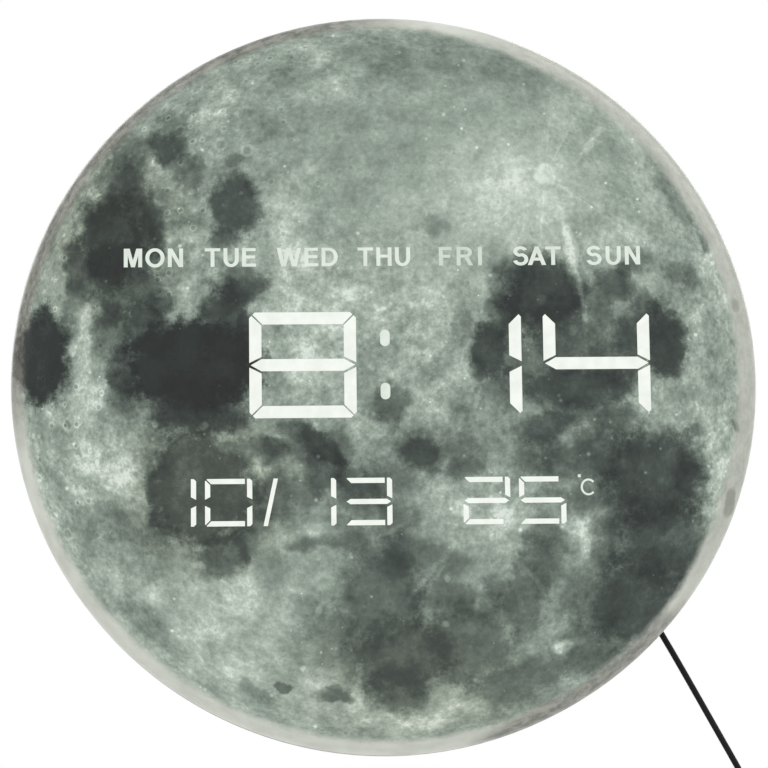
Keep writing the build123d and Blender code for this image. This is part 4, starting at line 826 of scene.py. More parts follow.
def patch_mask(made, place, patch, inside, outside, ragged=None):
    """A soft-edged oval, inside at its middle and outside past its edge; place is already turned."""
    across, up, half_width, half_height, turn, softness, _ = patch
    lean, rise = math.cos(math.radians(turn)), math.sin(math.radians(turn))
    scale = (1.0 / half_width, 0.0, 1.0 / half_height)
    shift = (-(across * lean + up * rise) / half_width, 0.0, (across * rise - up * lean) / half_height)
    oval = made.node("VectorMath", {"operation": "MULTIPLY_ADD"}, {0: place, 1: scale, 2: shift}).length()
    if ragged and softness < 0.9:
        oval = oval + ragged
    return oval.ease(1.0 - 0.75 * softness, 1.08 + 0.25 * softness, inside, outside)


def covered(made, place, patches):
    """The greatest share that any of these patches has at this place."""
    most = None
    for patch in patches:
        mask = patch_mask(made, place, patch, patch[6], 0.0)
        most = mask if most is None else most.above(mask)
    return most


def by_turn(made, place, patches):
    """Each patch with the place turned for it, patches of one turn together so that few values are held at once."""
    last, place_then = 0, place
    for patch in sorted(patches, key=lambda patch: patch[4]):
        if patch[4] != last:
            last, place_then = patch[4], turned(made, place, patch[4])
        yield patch, place_then


def ray_streaks(made, place, middle, reach, lines, seed):
    """Pale streaks that run out from a bright crater and fade over reach millimetres."""
    away = place.shifted((-middle[0], 0.0, -middle[1]))
    distance = away.length()
    heading = away.unit().scaled((lines, lines, lines)).shifted((seed, seed, seed))
    streaks = made.noise(heading, 1.0, 3.0, 0.7).ease(0.5, 0.72)
    patchy = made.noise(place, 16.0, 3.0).ease(0.3, 0.65, 0.35, 1.0)
    return streaks * distance.ease(4.0, reach, 1.0, 0.0) * distance.ease(3.0, 12.0) * patchy


def moon_finish(name):
    """The printed moon: seas, bright patches, craters and rays over a mottled ground."""
    made = Shader(name, specular_ior_level=0.3, coat_roughness=0.12, coat_ior=1.45)
    middle = made.place().shifted((0.0, 0.0, -DISC_MIDDLE.z))
    flat = middle.scaled((1.0, 0.0, 1.0))
    across, depth, up = (middle.dot(axis) for axis in ((1.0, 0.0, 0.0), (0.0, 1.0, 0.0), (0.0, 0.0, 1.0)))
    radius = flat.length()

    # A ball's coordinates bunch the fine detail up towards the limb
    ball_depth = (1.0 - ((radius / BALL_RADIUS).below(0.985)) ** 2.0) ** 0.5 * BALL_RADIUS
    ball = made.node("CombineXYZ", {}, {0: across, 1: ball_depth * 0.55, 2: up})
    stir = made.stir(flat, 30.0, 2.0, 8.0)
    stir_fine = made.stir(flat, 8.0, 5.0, 10.0)
    ragged = (made.noise(flat, 7.0, 9.0, 0.75) - 0.5) * 1.3
    warped = flat.shifted(stir).shifted(stir_fine)
    nudged = flat.shifted(stir_fine.scaled((0.45, 0.0, 0.45)))

    tone = made.noise(ball, 60.0, 3.0).ease(0.25, 0.75, 0.6, 0.74)
    for patch, place in by_turn(made, warped, DARK_PATCHES):
        tone = tone * patch_mask(made, place, patch, 1.0 - patch[6], 1.0, ragged)
    small = [patch for patch in PALE_PATCHES if min(patch[2:4]) < 6]
    broad = [patch for patch in PALE_PATCHES if min(patch[2:4]) >= 6]
    for stirred, patches in ((nudged, small), (warped, broad)):
        for patch, place in by_turn(made, stirred, patches):
            tone = tone + patch_mask(made, place, patch, 0.62 * patch[6], 0.0, ragged)
    tone = tone + ray_streaks(made, flat, BRIGHT_CRATER, 85.0, 4.0, 3.0) * 0.16
    tone = tone + ray_streaks(made, flat, LOWER_CRATER, 60.0, 5.0, 8.0) * 0.1
    for patch, place in by_turn(made, nudged.shifted(stir.scaled((0.15, 0.0, 0.15))), NARROW_RAYS):
        tone = tone + patch_mask(made, place, patch, patch[6], 0.0)
    ring = abs(flat.shifted((-BRIGHT_CRATER[0], 0.0, -BRIGHT_CRATER[1])).length() - 5.4)
    tone = tone - ring.ease(0.3, 1.5, 0.035, 0.0)

    facing = (across * 0.9 + up * 0.35).ease(60.0, 115.0)
    tone = tone + radius.ease(130.0, 142.0) * facing * 0.1

    # Mottling, then craters with a pale rim and a dark floor, and pale specks
    calm = covered(made, flat, CALM_PATCHES)
    mottle = made.noise(ball, 11.0, 7.0, 0.66) - 0.5
    tone = tone * (1.0 + mottle * (1.15 - calm * 0.75)) + mottle * 0.12
    grain = made.noise(ball, 2.4, 4.0, 0.7)
    tone = tone * (1.0 + (grain - 0.5) * (0.75 - calm * 0.35)) + (grain - 0.5) * 0.05
    crowded = (across * -0.8 + up * 0.35).ease(40.0, 120.0)
    for size, seed, most in CRATERS:
        spot = ball.shifted((seed, seed, seed))
        distance = made.cells(spot, size)
        pick = made.pick(made.cells(spot, size, 1))
        rim = (abs(distance - 0.27)).ease(0.02, 0.11, 1.0, 0.0)
        floor = distance.ease(0.12, 0.27, 1.0, 0.0)
        amount = pick.ease(0.45, 0.9) * (crowded * 0.75 + 0.25) * tone.ease(0.25, 0.55, 0.25, 1.0) * most
        tone = tone + (rim - floor * 0.9) * amount
    for size, seed, share in SPECKS:
        spot = flat.shifted((seed, 0.0, seed))
        pick = made.pick(made.cells(spot, size, 1))
        tone = tone + made.cells(spot, size).ease(0.02, 0.14, 0.3, 0.0) * pick.ease(share, 0.95)

    color = made.ramp(tone, *MOON_TONES)
    warm = covered(made, warped, WARM_PATCHES)
    color = made.blend(warm * 0.5, color, (1.06, 0.98, 0.9), "MULTIPLY")

    # The rim: towards the edge the print turns neutral and pale, the pale band partly a painted highlight on the
    # rounded edge; dark and brown at the left
    edge_noise = made.noise(ball, 5.0, 6.0, 0.7)
    soft_noise = made.noise(ball, 14.0, 3.0, 0.5).ease(0.3, 0.7)
    brown = (across * -0.75 + up * 0.66).ease(85.0, 118.0)
    dull = (across * 0.545 + up * -0.839).ease(137.5, 144.0) * 0.9
    top = up.ease(130.0, 146.0) * across.ease(-40.0, 40.0, 0.4, 0.0)
    # Pale rim colour: the print's tone with a painted highlight of the rounded edge laid over it
    rim_color = made.blend(soft_noise, srgb(196, 199, 188), srgb(214, 217, 206))
    for share, low, high in (
        (top, srgb(126, 122, 114), srgb(170, 167, 158)),
        (dull, srgb(112, 114, 106), srgb(160, 161, 152)),
        (brown, srgb(62, 59, 53), srgb(136, 132, 123)),
        (facing * 0.8, srgb(168, 171, 161), srgb(188, 191, 181)),
    ):
        rim_color = made.blend(share, rim_color, made.blend(edge_noise.ease(0.36, 0.64), low, high))
    reach = radius + (edge_noise - 0.5) * 3.0 + facing * 2.6
    fade = reach.ease(142.6, 146.4) * (0.95 - brown * 0.2) * tone.ease(0.12, 0.3, 0.6, 1.0)
    color = made.blend(fade, color, rim_color)
    for patch in RIM_SPOTS:
        mark = patch_mask(made, turned(made, nudged, patch[4]), patch, patch[6], 0.0)
        color = made.blend(mark, color, srgb(112, 120, 110))
    side = depth.ease(-24.5, -22.0)
    color = made.blend(side * 0.85, color, srgb(96, 92, 86))
    color = made.blend(depth.ease(-13.6, -13.3), color, srgb(60, 60, 60))
    made.set("Base Color", color)
    made.set("Roughness", grain.ease(0.2, 0.8, 0.36, 0.46))
    made.set("Coat Weight", radius.ease(140.0, 147.0, 0.12, 0.5) * depth.ease(-26.0, -22.5, 1.0, 0.15))
    made.relief(made.noise(middle, 1.6, 2.0, 0.5), 0.012)
    return made.material


BAR_GLOW = 0.82
BAR_GROUND = srgb(120, 124, 118)
WORD_GLOW = 0.86
WORD_GROUND = srgb(90, 95, 90)


def lit_finish(name, color, level, ground):
    """A milky light guide with its lamp behind it, a little uneven along its length."""
    made = Shader(name, roughness=0.32, specular_ior_level=0.3)
    place = made.place()
    cloud = made.noise(place, 6.0, 2.0).ease(0.3, 0.7, 0.9, 1.0)
    made.set("Base Color", ground)
    made.set("Emission Color", made.blend(cloud, (0.0, 0.0, 0.0), color))
    made.set("Emission Strength", level)
    made.relief(made.noise(place, 0.8, 2.0), 0.006)
    return made.material


class CLOCK_OT_face(bpy.types.Operator):
    """Prints the moon on the face panel and on the windows that aren't lit"""

    bl_idname = "clock.face"
    bl_label = "Printed face"

    def execute(self, context):
        moon = moon_finish("printed_moon")
        use(moon, "face_panel", "weekday_windows", "degree_window")
        return {"FINISHED"}


def islands(mesh):
    """The separate bodies of a mesh, as lists of faces."""
    left = set(mesh.faces)
    found = []
    while left:
        group = []
        queue = [left.pop()]
        while queue:
            face = queue.pop()
            group.append(face)
            for edge in face.edges:
                for other in edge.link_faces:
                    if other in left:
                        left.remove(other)
                        queue.append(other)
        found.append(group)
    return found


def bar_index(across, up, half_width, half_height):
    """Which bar of a figure stands at this place from the figure's middle."""
    if abs(across) < half_width * 0.5:
        return 3 if abs(up) < half_height * 0.4 else (0 if up > 0 else 4)
    if up > 0:
        return 1 if across < 0 else 2
    return 5 if across < 0 else 6


def light_figure(node, middle, half_size, numeral, moon, lit):
    """Splits a figure's windows into lit and unlit bars; middle and half_size are across and up in millimetres."""
    work = bmesh.new()
    work.from_mesh(NODES[node].data)
    bmesh.ops.remove_doubles(work, verts=work.verts, dist=SAME_PLACE)
    work.faces.index_update()
    lit_faces = []
    for group in islands(work):
        spots = [vert.co for face in group for vert in face.verts]
        across = (min(spot.x for spot in spots) + max(spot.x for spot in spots)) / 2 / MM - middle[0]
        up = (min(spot.z for spot in spots) + max(spot.z for spot in spots)) / 2 / MM - DISC_MIDDLE.z - middle[1]
        if NUMERAL_BARS[numeral][bar_index(across, up, *half_size)] == "1":
            lit_faces += [face.index for face in group]
    mesh = bpy.data.meshes.new(node)
    work.to_mesh(mesh)
    work.free()
    add_piece(node.replace("windows", "bars"), mesh, moon, stands_for=(node,), smooth=False)
    mesh.materials.append(lit)
    for index in lit_faces:
        mesh.polygons[index].material_index = 1


class CLOCK_OT_figures(bpy.types.Operator):
    """Lights the bars of the time, the date and the temperature, and the dots between the hours and minutes"""

    bl_idname = "clock.figures"
    bl_label = "Lit figures"

    def execute(self, context):
        shown = context.scene.clock_display
        moon = bpy.data.materials["printed_moon"]
        lit = lit_finish("lit_bar", tuple(shown.lit_color), BAR_GLOW, BAR_GROUND)
        dots = lit_finish("lit_dot", tuple(shown.word_color), WORD_GLOW, WORD_GROUND)
        # A leading nought of the hour, the month and the day stays dark
        numbers = {}
        for name in ("hour", "minute", "month", "day", "temperature"):
            tens, units = divmod(getattr(shown, name), 10)
            numbers[f"{name}_tens"] = tens if tens or name in ("minute", "temperature") else None
            numbers[f"{name}_units"] = units
        for figures, row, half_size in (
            (TIME_FIGURES, TIME_ROW, TIME_HALF_SIZE),
            (SMALL_FIGURES, SMALL_ROW, SMALL_HALF_SIZE),
        ):
            for figure, middle in figures.items():
                if numbers[figure] is None:
                    use(moon, f"{figure}_windows")
                else:
                    light_figure(f"{figure}_windows", (middle, row), half_size, numbers[figure], moon, lit)
        use(lit, "slash_window")
        use(dots, "colon_windows")
        return {"FINISHED"}


def bar(left, low, right, high):
    """An upright stroke of a letter, in heights of a capital."""
    return [[(left, low), (right, low), (right, high), (left, high)]]


def slant(foot, head, width, low=0.0, high=1.0):
    """A sloping stroke with level ends, from its left foot to its left head."""
    return [[(foot, low), (foot + width, low), (head + width, high), (head, high)]]


def arc(across, up, reach, rise, stroke, thin, start, end):
    """Part of an oval ring, anticlockwise from start to end in degrees."""
    steps = max(3, round(abs(end - start) / 9))
    turns = [math.radians(start + (end - start) * step / steps) for step in range(steps + 1)]
    outer = [(across + reach * math.cos(turn), up + rise * math.sin(turn)) for turn in turns]
    inner = [(across + (reach - stroke) * math.cos(turn), up + (rise - thin) * math.sin(turn)) for turn in turns]
    return [[inner[step], outer[step], outer[step + 1], inner[step + 1]] for step in range(steps)]


def letter(name, stem, thin):
    """A plain letter's width and strokes, in heights of a capital."""
    if name == "A":
        slope = stem * 1.1
        legs = slant(0, 0.39, slope) + slant(0.98 - slope, 0.59 - slope, slope)
        return 0.98, legs + bar(0.22, 0.24, 0.76, 0.24 + thin)
    if name == "C":
        return 0.84, arc(0.48, 0.5, 0.48, 0.52, stem, thin, 42, 318)
    if name == "D":
        bowl = arc(0.38, 0.5, 0.48, 0.5, stem, thin, -90, 90)
        return 0.86, bar(0, 0, stem, 1) + bar(stem, 0, 0.38, thin) + bar(stem, 1 - thin, 0.38, 1) + bowl
    if name == "E":
        middle = 0.52 - thin / 2
        rows = ((0, thin, 0.74), (middle, middle + thin, 0.69), (1 - thin, 1, 0.72))
        return 0.74, bar(0, 0, stem, 1) + sum((bar(stem, low, end, high) for low, high, end in rows), [])
    if name == "F":
        middle = 0.5 - thin / 2
        return 0.68, bar(0, 0, stem, 1) + bar(stem, 1 - thin, 0.68, 1) + bar(stem, middle, 0.6, middle + thin)
    if name == "H":
        middle = 0.53 - thin / 2
        return 0.81, bar(0, 0, stem, 1) + bar(0.81 - stem, 0, 0.81, 1) + bar(stem, middle, 0.81 - stem, middle + thin)
    if name == "I":
        return stem, bar(0, 0, stem, 1)
    if name == "L":
        return 0.7, bar(0, 0, stem, 1) + bar(stem, 0, 0.7, thin)
    if name == "M":
        lean = stem * 0.98
        return 0.97, (
            bar(0, 0, stem, 1)
            + bar(0.97 - stem, 0, 0.97, 1)
            + slant(0.485 - lean / 2, stem * 0.5, lean)
            + slant(0.485 - lean / 2, 0.97 - stem * 0.5 - lean, lean)
        )
    if name == "N":
        lean = stem * 1.1
        return 0.81, bar(0, 0, stem, 1) + bar(0.81 - stem, 0, 0.81, 1) + slant(0.81 - lean, 0, lean)
    if name == "O":
        return 1.02, arc(0.51, 0.5, 0.51, 0.52, stem, thin * 1.05, 0, 360)
    if name in "PR":
        low = 0.42
        bowl = arc(0.48, (low + 1) / 2, 0.34, (1 - low) / 2, stem, thin, -90, 90)
        made = bar(0, 0, stem, 1) + bar(stem, 1 - thin, 0.48, 1) + bar(stem, low, 0.48, low + thin) + bowl
        if name == "P":
            return 0.82, made
        return 0.88, made + slant(0.88 - stem * 1.15, 0.38, stem * 1.1, 0, low + thin * 0.5)
    if name == "S":
        top = arc(0.41, 0.735, 0.38, 0.285, stem, thin, 22, 270)
        foot = arc(0.41, 0.265 + thin * 0.3, 0.41, 0.285 + thin * 0.3, stem, thin, -165, 90)
        return 0.82, top + foot
    if name == "T":
        return 0.82, bar(0, 1 - thin, 0.82, 1) + bar(0.41 - stem / 2, 0, 0.41 + stem / 2, 1 - thin)
    if name == "U":
        bend = arc(0.405, 0.4, 0.405, 0.42, stem, thin, 180, 360)
        return 0.81, bar(0, 0.4, stem, 1) + bar(0.81 - stem, 0.4, 0.81, 1) + bend
    lean = stem * 0.98
    strokes = ((0.24, 0.0), (0.27, 0.55), (0.8, 0.55), (0.84, 1.3 - lean))
    return 1.3, sum((slant(foot, head, lean) for foot, head in strokes), [])


def word_mesh(text, height, width, depth, stem=0.21, thin=0.165):
    """Plain upright lettering in metres that faces the front, its middle at zero, spaced out to width if given."""
    letters = [letter(name, stem, thin) for name in text]
    total = sum(span for span, _ in letters)
    space = (width / height - total) / max(1, len(text) - 1) if width else 0.2
    work = bmesh.new()
    start = -(total + space * (len(text) - 1)) / 2
    for span, strokes in letters:
        for corners in strokes:
            levels = []
            for level in (-depth / 2, depth / 2):
                spots = [((start + across) * height, level, (up - 0.5) * height) for across, up in corners]
                levels.append([work.verts.new(spot) for spot in spots])
            front, back = levels
            work.faces.new(front)
            work.faces.new(back[::-1])
            for index in range(len(corners)):
                after = (index + 1) % len(corners)
                work.faces.new((front[index], back[index], back[after], front[after]))
        start += span + space
    return finished(work, text)


def join_meshes(meshes, places):
    """One mesh from several, each moved to its place."""
    work = bmesh.new()
    for mesh, place in zip(meshes, places):
        start = len(work.verts)
        work.from_mesh(mesh)
        work.verts.ensure_lookup_table()
        bmesh.ops.translate(work, verts=work.verts[start:], vec=place)
        bpy.data.meshes.remove(mesh)
    joined = bpy.data.meshes.new("joined")
    work.to_mesh(joined)
    work.free()
    return joined


WORD_THICKNESS = 0.04
# The degree sign's letter and dot: height, and across and up from the middle of the disc, in millimetres
DEGREE_LETTER = (6.5, 80.2, -44.6)
DEGREE_DOT = (1.2, 77.0, -40.1)


class CLOCK_OT_words(bpy.types.Operator):
    """Adds the lit names of the weekdays and the degree sign over their windows"""

    bl_idname = "clock.words"
    bl_label = "Lit words"

    def execute(self, context):
        shown = context.scene.clock_display
        lit = lit_finish("lit_word", tuple(shown.word_color), WORD_GLOW, WORD_GROUND)
        dim = lit_finish("dim_word", tuple(shown.dim_color), WORD_GLOW, WORD_GROUND)
        thickness = WORD_THICKNESS * MM
        level = FRONT_LEVEL * MM - thickness / 2
        meshes, places = [], []
        for index, (word, width) in enumerate(WEEKDAYS.items()):
            mesh = word_mesh(word, shown.word_height, width * MM, thickness)
            place = ((index - 3) * WEEKDAY_PITCH * MM, level, (WEEKDAY_ROW + DISC_MIDDLE.z) * MM)
            if index + 1 == shown.dim_day:
                add_piece("dim_weekday_word", join_meshes([mesh], [place]), dim, smooth=False)
            else:
                meshes.append(mesh)
                places.append(place)
        add_piece("weekday_words", join_meshes(meshes, places), lit, smooth=False)
        sign = word_mesh("C", DEGREE_LETTER[0] * MM, None, thickness, 0.135, 0.125)
        dot = word_mesh("I", DEGREE_DOT[0] * MM, None, thickness, 1.0, 1.0)
        spots = [(across * MM, level, (up + DISC_MIDDLE.z) * MM) for _, across, up in (DEGREE_LETTER, DEGREE_DOT)]
        add_piece("degree_sign", join_meshes([sign, dot], spots), lit, smooth=False)
        return {"FINISHED"}


# ------------------------------------------------------------- geometry nodes


class Layout:
    """A Geometry Nodes tree with named inputs, run on an empty mesh to give a plain one."""

    def __init__(self, name):
        self.tree = bpy.data.node_groups.new(name, "GeometryNodeTree")
        self.tree.interface.new_socket("Geometry", in_out="OUTPUT", socket_type="NodeSocketGeometry")
        self.entry = self.tree.nodes.new("NodeGroupInput")
        self.exit = self.tree.nodes.new("NodeGroupOutput")
        self.values = {}

    def input(self, name, kind, value):
        """A named input and the value that the modifier gives it."""
        socket = self.tree.interface.new_socket(name, in_out="INPUT", socket_type="NodeSocket" + kind)
        self.values[socket.identifier] = value
        return self.entry.outputs[name]

    def node(self, kind, settings=None, values=None, output=0):
        made = self.tree.nodes.new(kind)
        for name, value in (settings or {}).items():
            setattr(made, name, value)
        for name, value in (values or {}).items():
            if isinstance(value, bpy.types.NodeSocket):
                self.tree.links.new(value, made.inputs[name])
            else:
                made.inputs[name].default_value = value
        return made.outputs[output]

    def run(self, instances, material):
        """Ends the tree, evaluates it and gives the mesh."""
        plain = self.node("GeometryNodeRealizeInstances", {}, {0: instances})
        chosen = self.input("Material", "Material", material)
        dressed = self.node("GeometryNodeSetMaterial", {}, {"Geometry": plain, "Material": chosen})
        self.tree.links.new(dressed, self.exit.inputs[0])
        host = bpy.data.objects.new("layout", bpy.data.meshes.new("layout"))
        bpy.context.scene.collection.objects.link(host)
        modifier = host.modifiers.new("layout", "NODES")
        modifier.node_group = self.tree
        for identifier, value in self.values.items():
            modifier[identifier] = value
        return settle(host)


def screw_template(profile, recess_width, recess_length, recess_depth, head_top):
    """One cross-recessed screw along Y, its head towards +Y and the head's seat at zero."""
    body = bpy.data.objects.new("screw_body", lathe(profile, 40, Vector((0, 0, 0)), Vector((0, 1, 0))))
    work = bmesh.new()
    half, reach = recess_width / 2, recess_length / 2
    outline = [
        (half, half), (reach, half), (reach, -half), (half, -half), (half, -reach), (-half, -reach),
        (-half, -half), (-reach, -half), (-reach, half), (-half, half), (-half, reach), (half, reach),
    ]
    # The recess narrows towards its floor and opens past the head's top
    lower = [work.verts.new(Vector((x * 0.62, head_top - recess_depth, z * 0.62)) * MM) for x, z in outline]
    upper = [work.verts.new(Vector((x * 1.15, head_top + 0.4, z * 1.15)) * MM) for x, z in outline]
    work.faces.new(lower)
    work.faces.new(upper)
    for index in range(len(outline)):
        after = (index + 1) % len(outline)
        work.faces.new((lower[index], lower[after], upper[after], upper[index]))
    cutter = bpy.data.objects.new("cross_recess", finished(work, "cross_recess"))
    for piece in (body, cutter):
        bpy.context.scene.collection.objects.link(piece)
    cut = body.modifiers.new("recess", "BOOLEAN")
    cut.operation = "DIFFERENCE"
    cut.solver = "EXACT"
    cut.object = cutter
    mesh = settle(body)
    bpy.data.objects.remove(cutter)
    template = bpy.data.objects.new("screw_template", mesh)
    bpy.context.scene.collection.objects.link(template)
    return template


def screw_ring(name, template, radius, count, turn, middle, material):
    """Screws on a circle that faces the wall, each turned a little differently as a hand leaves them."""
    layout = Layout(name)
    ring = layout.node(
        "GeometryNodeMeshCircle",
        {},
        {"Vertices": layout.input("Count", "Int", count), "Radius": layout.input("Circle radius", "Float", radius)},
    )
    points = layout.node(
        "GeometryNodeTransform",
        {},
        {
            "Geometry": ring,
            "Translation": layout.input("Middle", "Vector", tuple(middle)),
            "Rotation": (math.radians(90), turn, 0.0),
        },
    )
    source = layout.node(
        "GeometryNodeObjectInfo",
        {"transform_space": "ORIGINAL"},
        {"Object": layout.input("Screw", "Object", template)},
        "Geometry",
    )
    spin = layout.node(
        "FunctionNodeRandomValue",
        {"data_type": "FLOAT_VECTOR"},
        {"Min": (0.0, 0.0, 0.0), "Max": (0.0, 1.5, 0.0), "Seed": layout.input("Seed", "Int", 7)},
        "Value",
    )
    placed = layout.node("GeometryNodeInstanceOnPoints", {}, {"Points": points, "Instance": source, "Rotation": spin})
    mesh = layout.run(placed, material)
    bpy.data.objects.remove(template)
    return mesh


RIB_LEVEL = -12.5


def rib_ring(material):
    """Stiffening ribs between the rear cover's bulge and its screws, with a gap for the lead."""
    layout = Layout("cover_ribs")
    gap = layout.input("Gap for the lead", "Float", math.radians(24))
    lead_turn = layout.input("Turn of the lead", "Float", math.radians(-40.5))
    half_gap = layout.node("ShaderNodeMath", {"operation": "MULTIPLY"}, {0: gap, 1: 0.5})
    start = layout.node("ShaderNodeMath", {"operation": "ADD"}, {0: lead_turn, 1: half_gap})
    sweep = layout.node("ShaderNodeMath", {"operation": "SUBTRACT"}, {0: 2 * math.pi, 1: gap})
    ring = layout.node(
        "GeometryNodeCurveArc",
        {"mode": "RADIUS"},
        {
            "Resolution": 96,
            "Radius": layout.input("Circle radius", "Float", 126.4 * MM),
            "Start Angle": start,
            "Sweep Angle": sweep,
        },
    )
    count = layout.input("Count", "Int", 53)
    points = layout.node("GeometryNodeCurveToPoints", {"mode": "COUNT"}, {"Curve": ring, "Count": count})
    size = layout.input("Rib size", "Vector", (14.8 * MM, 2.2 * MM, 1.2 * MM))
    rib = layout.node("GeometryNodeMeshCube", {}, {"Size": size})
    turn = points.node.outputs["Rotation"]
    placed = layout.node("GeometryNodeInstanceOnPoints", {}, {"Points": points, "Instance": rib, "Rotation": turn})
    upright = layout.node(
        "GeometryNodeTransform",
        {},
        {
            "Geometry": placed,
            "Rotation": (math.radians(90), 0.0, 0.0),
            "Translation": (0.0, RIB_LEVEL * MM, DISC_MIDDLE.z * MM),
        },
    )
    return layout.run(upright, material)


# The words beside the buttons and their rows, and their other measures, in millimetres
BUTTON_WORDS = {"SET": 25.5, "UP": 8.5, "DOWN": -8.5, "ALARM": -25.5}
BUTTON_WORD_HEIGHT = 3.0
BUTTON_WORD_THICKNESS = 0.1
BUTTON_WORD_LEVEL = 0.02
BUTTON_WORD_EDGE = -82.5


class CLOCK_OT_cover(bpy.types.Operator):
    """Finishes the rear cover and adds its ribs and the words beside the buttons"""

    bl_idname = "clock.cover"
    bl_label = "Rear cover"

    def execute(self, context):
        colors = context.scene.clock_finish
        texture = plain_finish("spark_texture", tuple(colors.cover_color), 0.58, 0.45, 0.05, 0.1)
        use(texture, "rear_cover", "cell_cap", "hanger_tray")
        add_piece("cover_ribs", rib_ring(texture), texture, smooth=False)
        meshes, places = [], []
        for word, row in BUTTON_WORDS.items():
            mesh = word_mesh(word, BUTTON_WORD_HEIGHT * MM, None, BUTTON_WORD_THICKNESS * MM)
            for vert in mesh.vertices:
                vert.co.x, vert.co.y = -vert.co.x, -vert.co.y
            half = max(vert.co.x for vert in mesh.vertices)
            meshes.append(mesh)
            places.append((BUTTON_WORD_EDGE * MM - half, BUTTON_WORD_LEVEL * MM, (row + DISC_MIDDLE.z) * MM))
        satin = plain_finish("printed_letters", srgb(168, 170, 172), 0.5, 0.8, 0.01, 0.08)
        add_piece("button_words", join_meshes(meshes, places), satin, smooth=False)
        return {"FINISHED"}


# The cover screws: the level of their heads' seats, the circle they stand on and its turn in degrees
SCREW_SEAT = -15.5
SCREW_CIRCLE = 139.0
SCREW_COUNT = 8
SCREW_TURN = 22.5
# Distance along the screw in millimetres and radius: its point, one turn of its thread, which stops at the neck,
# and its head
SCREW_POINT = [(0.0, 0.0), (0.8, 0.9)]
SCREW_THREAD = [(0.2, 1.3), (0.45, 1.05), (0.6, 1.05)]
SCREW_NECK = -0.9
SCREW_HEAD = [
    (0.0, 1.05), (0.0, 2.45), (0.15, 2.6), (0.6, 2.6), (1.05, 2.45), (1.4, 2.05), (1.6, 1.4), (1.68, 0.7), (1.7, 0.0),
]


class CLOCK_OT_fixings(bpy.types.Operator):
    """Adds the cover screws, the hanger plate's screws and the plate's brushed finish"""

    bl_idname = "clock.fixings"
    bl_label = "Screws and hanger plate"

    def execute(self, context):
        steel = tuple(context.scene.clock_finish.steel_color)
        plated = plain_finish("plated_screws", steel, 0.3, 0.6, 0.006, 0.1, 1.0)
        low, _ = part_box("cover_screws")
        tip = low[1] / MM - SCREW_SEAT
        shank = [(tip + along, radius) for along, radius in SCREW_POINT]
        reach = tip + SCREW_POINT[-1][0]
        while reach < SCREW_NECK:
            shank += [(reach + along, radius) for along, radius in SCREW_THREAD]
            reach += SCREW_THREAD[-1][0]
        pan = screw_template(shank + SCREW_HEAD, 0.62, 3.1, 0.95, SCREW_HEAD[-1][0])
        middle = Vector((0.0, SCREW_SEAT, DISC_MIDDLE.z)) * MM
        turn = math.radians(SCREW_TURN)
        ring = screw_ring("cover_screw_ring", pan, SCREW_CIRCLE * MM, SCREW_COUNT, turn, middle, plated)
        add_piece("cover_fixings", ring, plated, stands_for=("cover_screws",))

        brushed = Shader("brushed_plate", metallic=1.0)
        place = brushed.place()
        lines = brushed.noise(place.scaled((0.03, 1.0, 1.0)), 0.25, 3.0, 0.6)
        cloud = brushed.noise(place, 7.0, 3.0)
        brushed.set("Base Color", brushed.blend(lines.ease(0.3, 0.7), shade(steel, 0.8), shade(steel, 1.05)))
        brushed.set("Roughness", (lines * 0.5 + cloud * 0.5).ease(0.3, 0.7, 0.26, 0.42))
        brushed.relief(lines, 0.01)
        use(brushed.material, "hanger_plate")
        use(plated, "board_screws", "hanger_screws")
        return {"FINISHED"}


class CLOCK_OT_fittings(bpy.types.Operator):
    """Finishes the buttons, wall pads, strain relief and plug"""

    bl_idname = "clock.fittings"
    bl_label = "Buttons, pads and plug"

    def execute(self, context):
        colors = context.scene.clock_finish
        satin = plain_finish("button_caps", tuple(colors.button_color), 0.38, 0.7, 0.008, 0.06)
        use(satin, "set_button", "up_button", "down_button", "alarm_button")
        rubber = plain_finish("pad_rubber", tuple(colors.pad_color), 0.78, 0.35, 0.04, 0.12)
        use(rubber, "wall_pads")
        sheath = plain_finish("moulded_sheath", shade(tuple(colors.lead_color), 1.15), 0.5, 0.5, 0.02, 0.1)
        use(sheath, "strain_relief", "plug_body")
        nickel = plain_finish("nickel_shell", srgb(205, 204, 200), 0.22, 1.2, 0.004, 0.06, 1.0)
        use(nickel, "plug_shell")
        use(plain_finish("white_carrier", srgb(225, 225, 220), 0.45, 0.8, 0.006, 0.05), "plug_tongue", "wire_socket")
        return {"FINISHED"}


# Waves of the ribbon's cores and of the boards' tracks, in radians per millimetre
RIBBON_CORES = 4.95
BOARD_TRACKS = 2.2


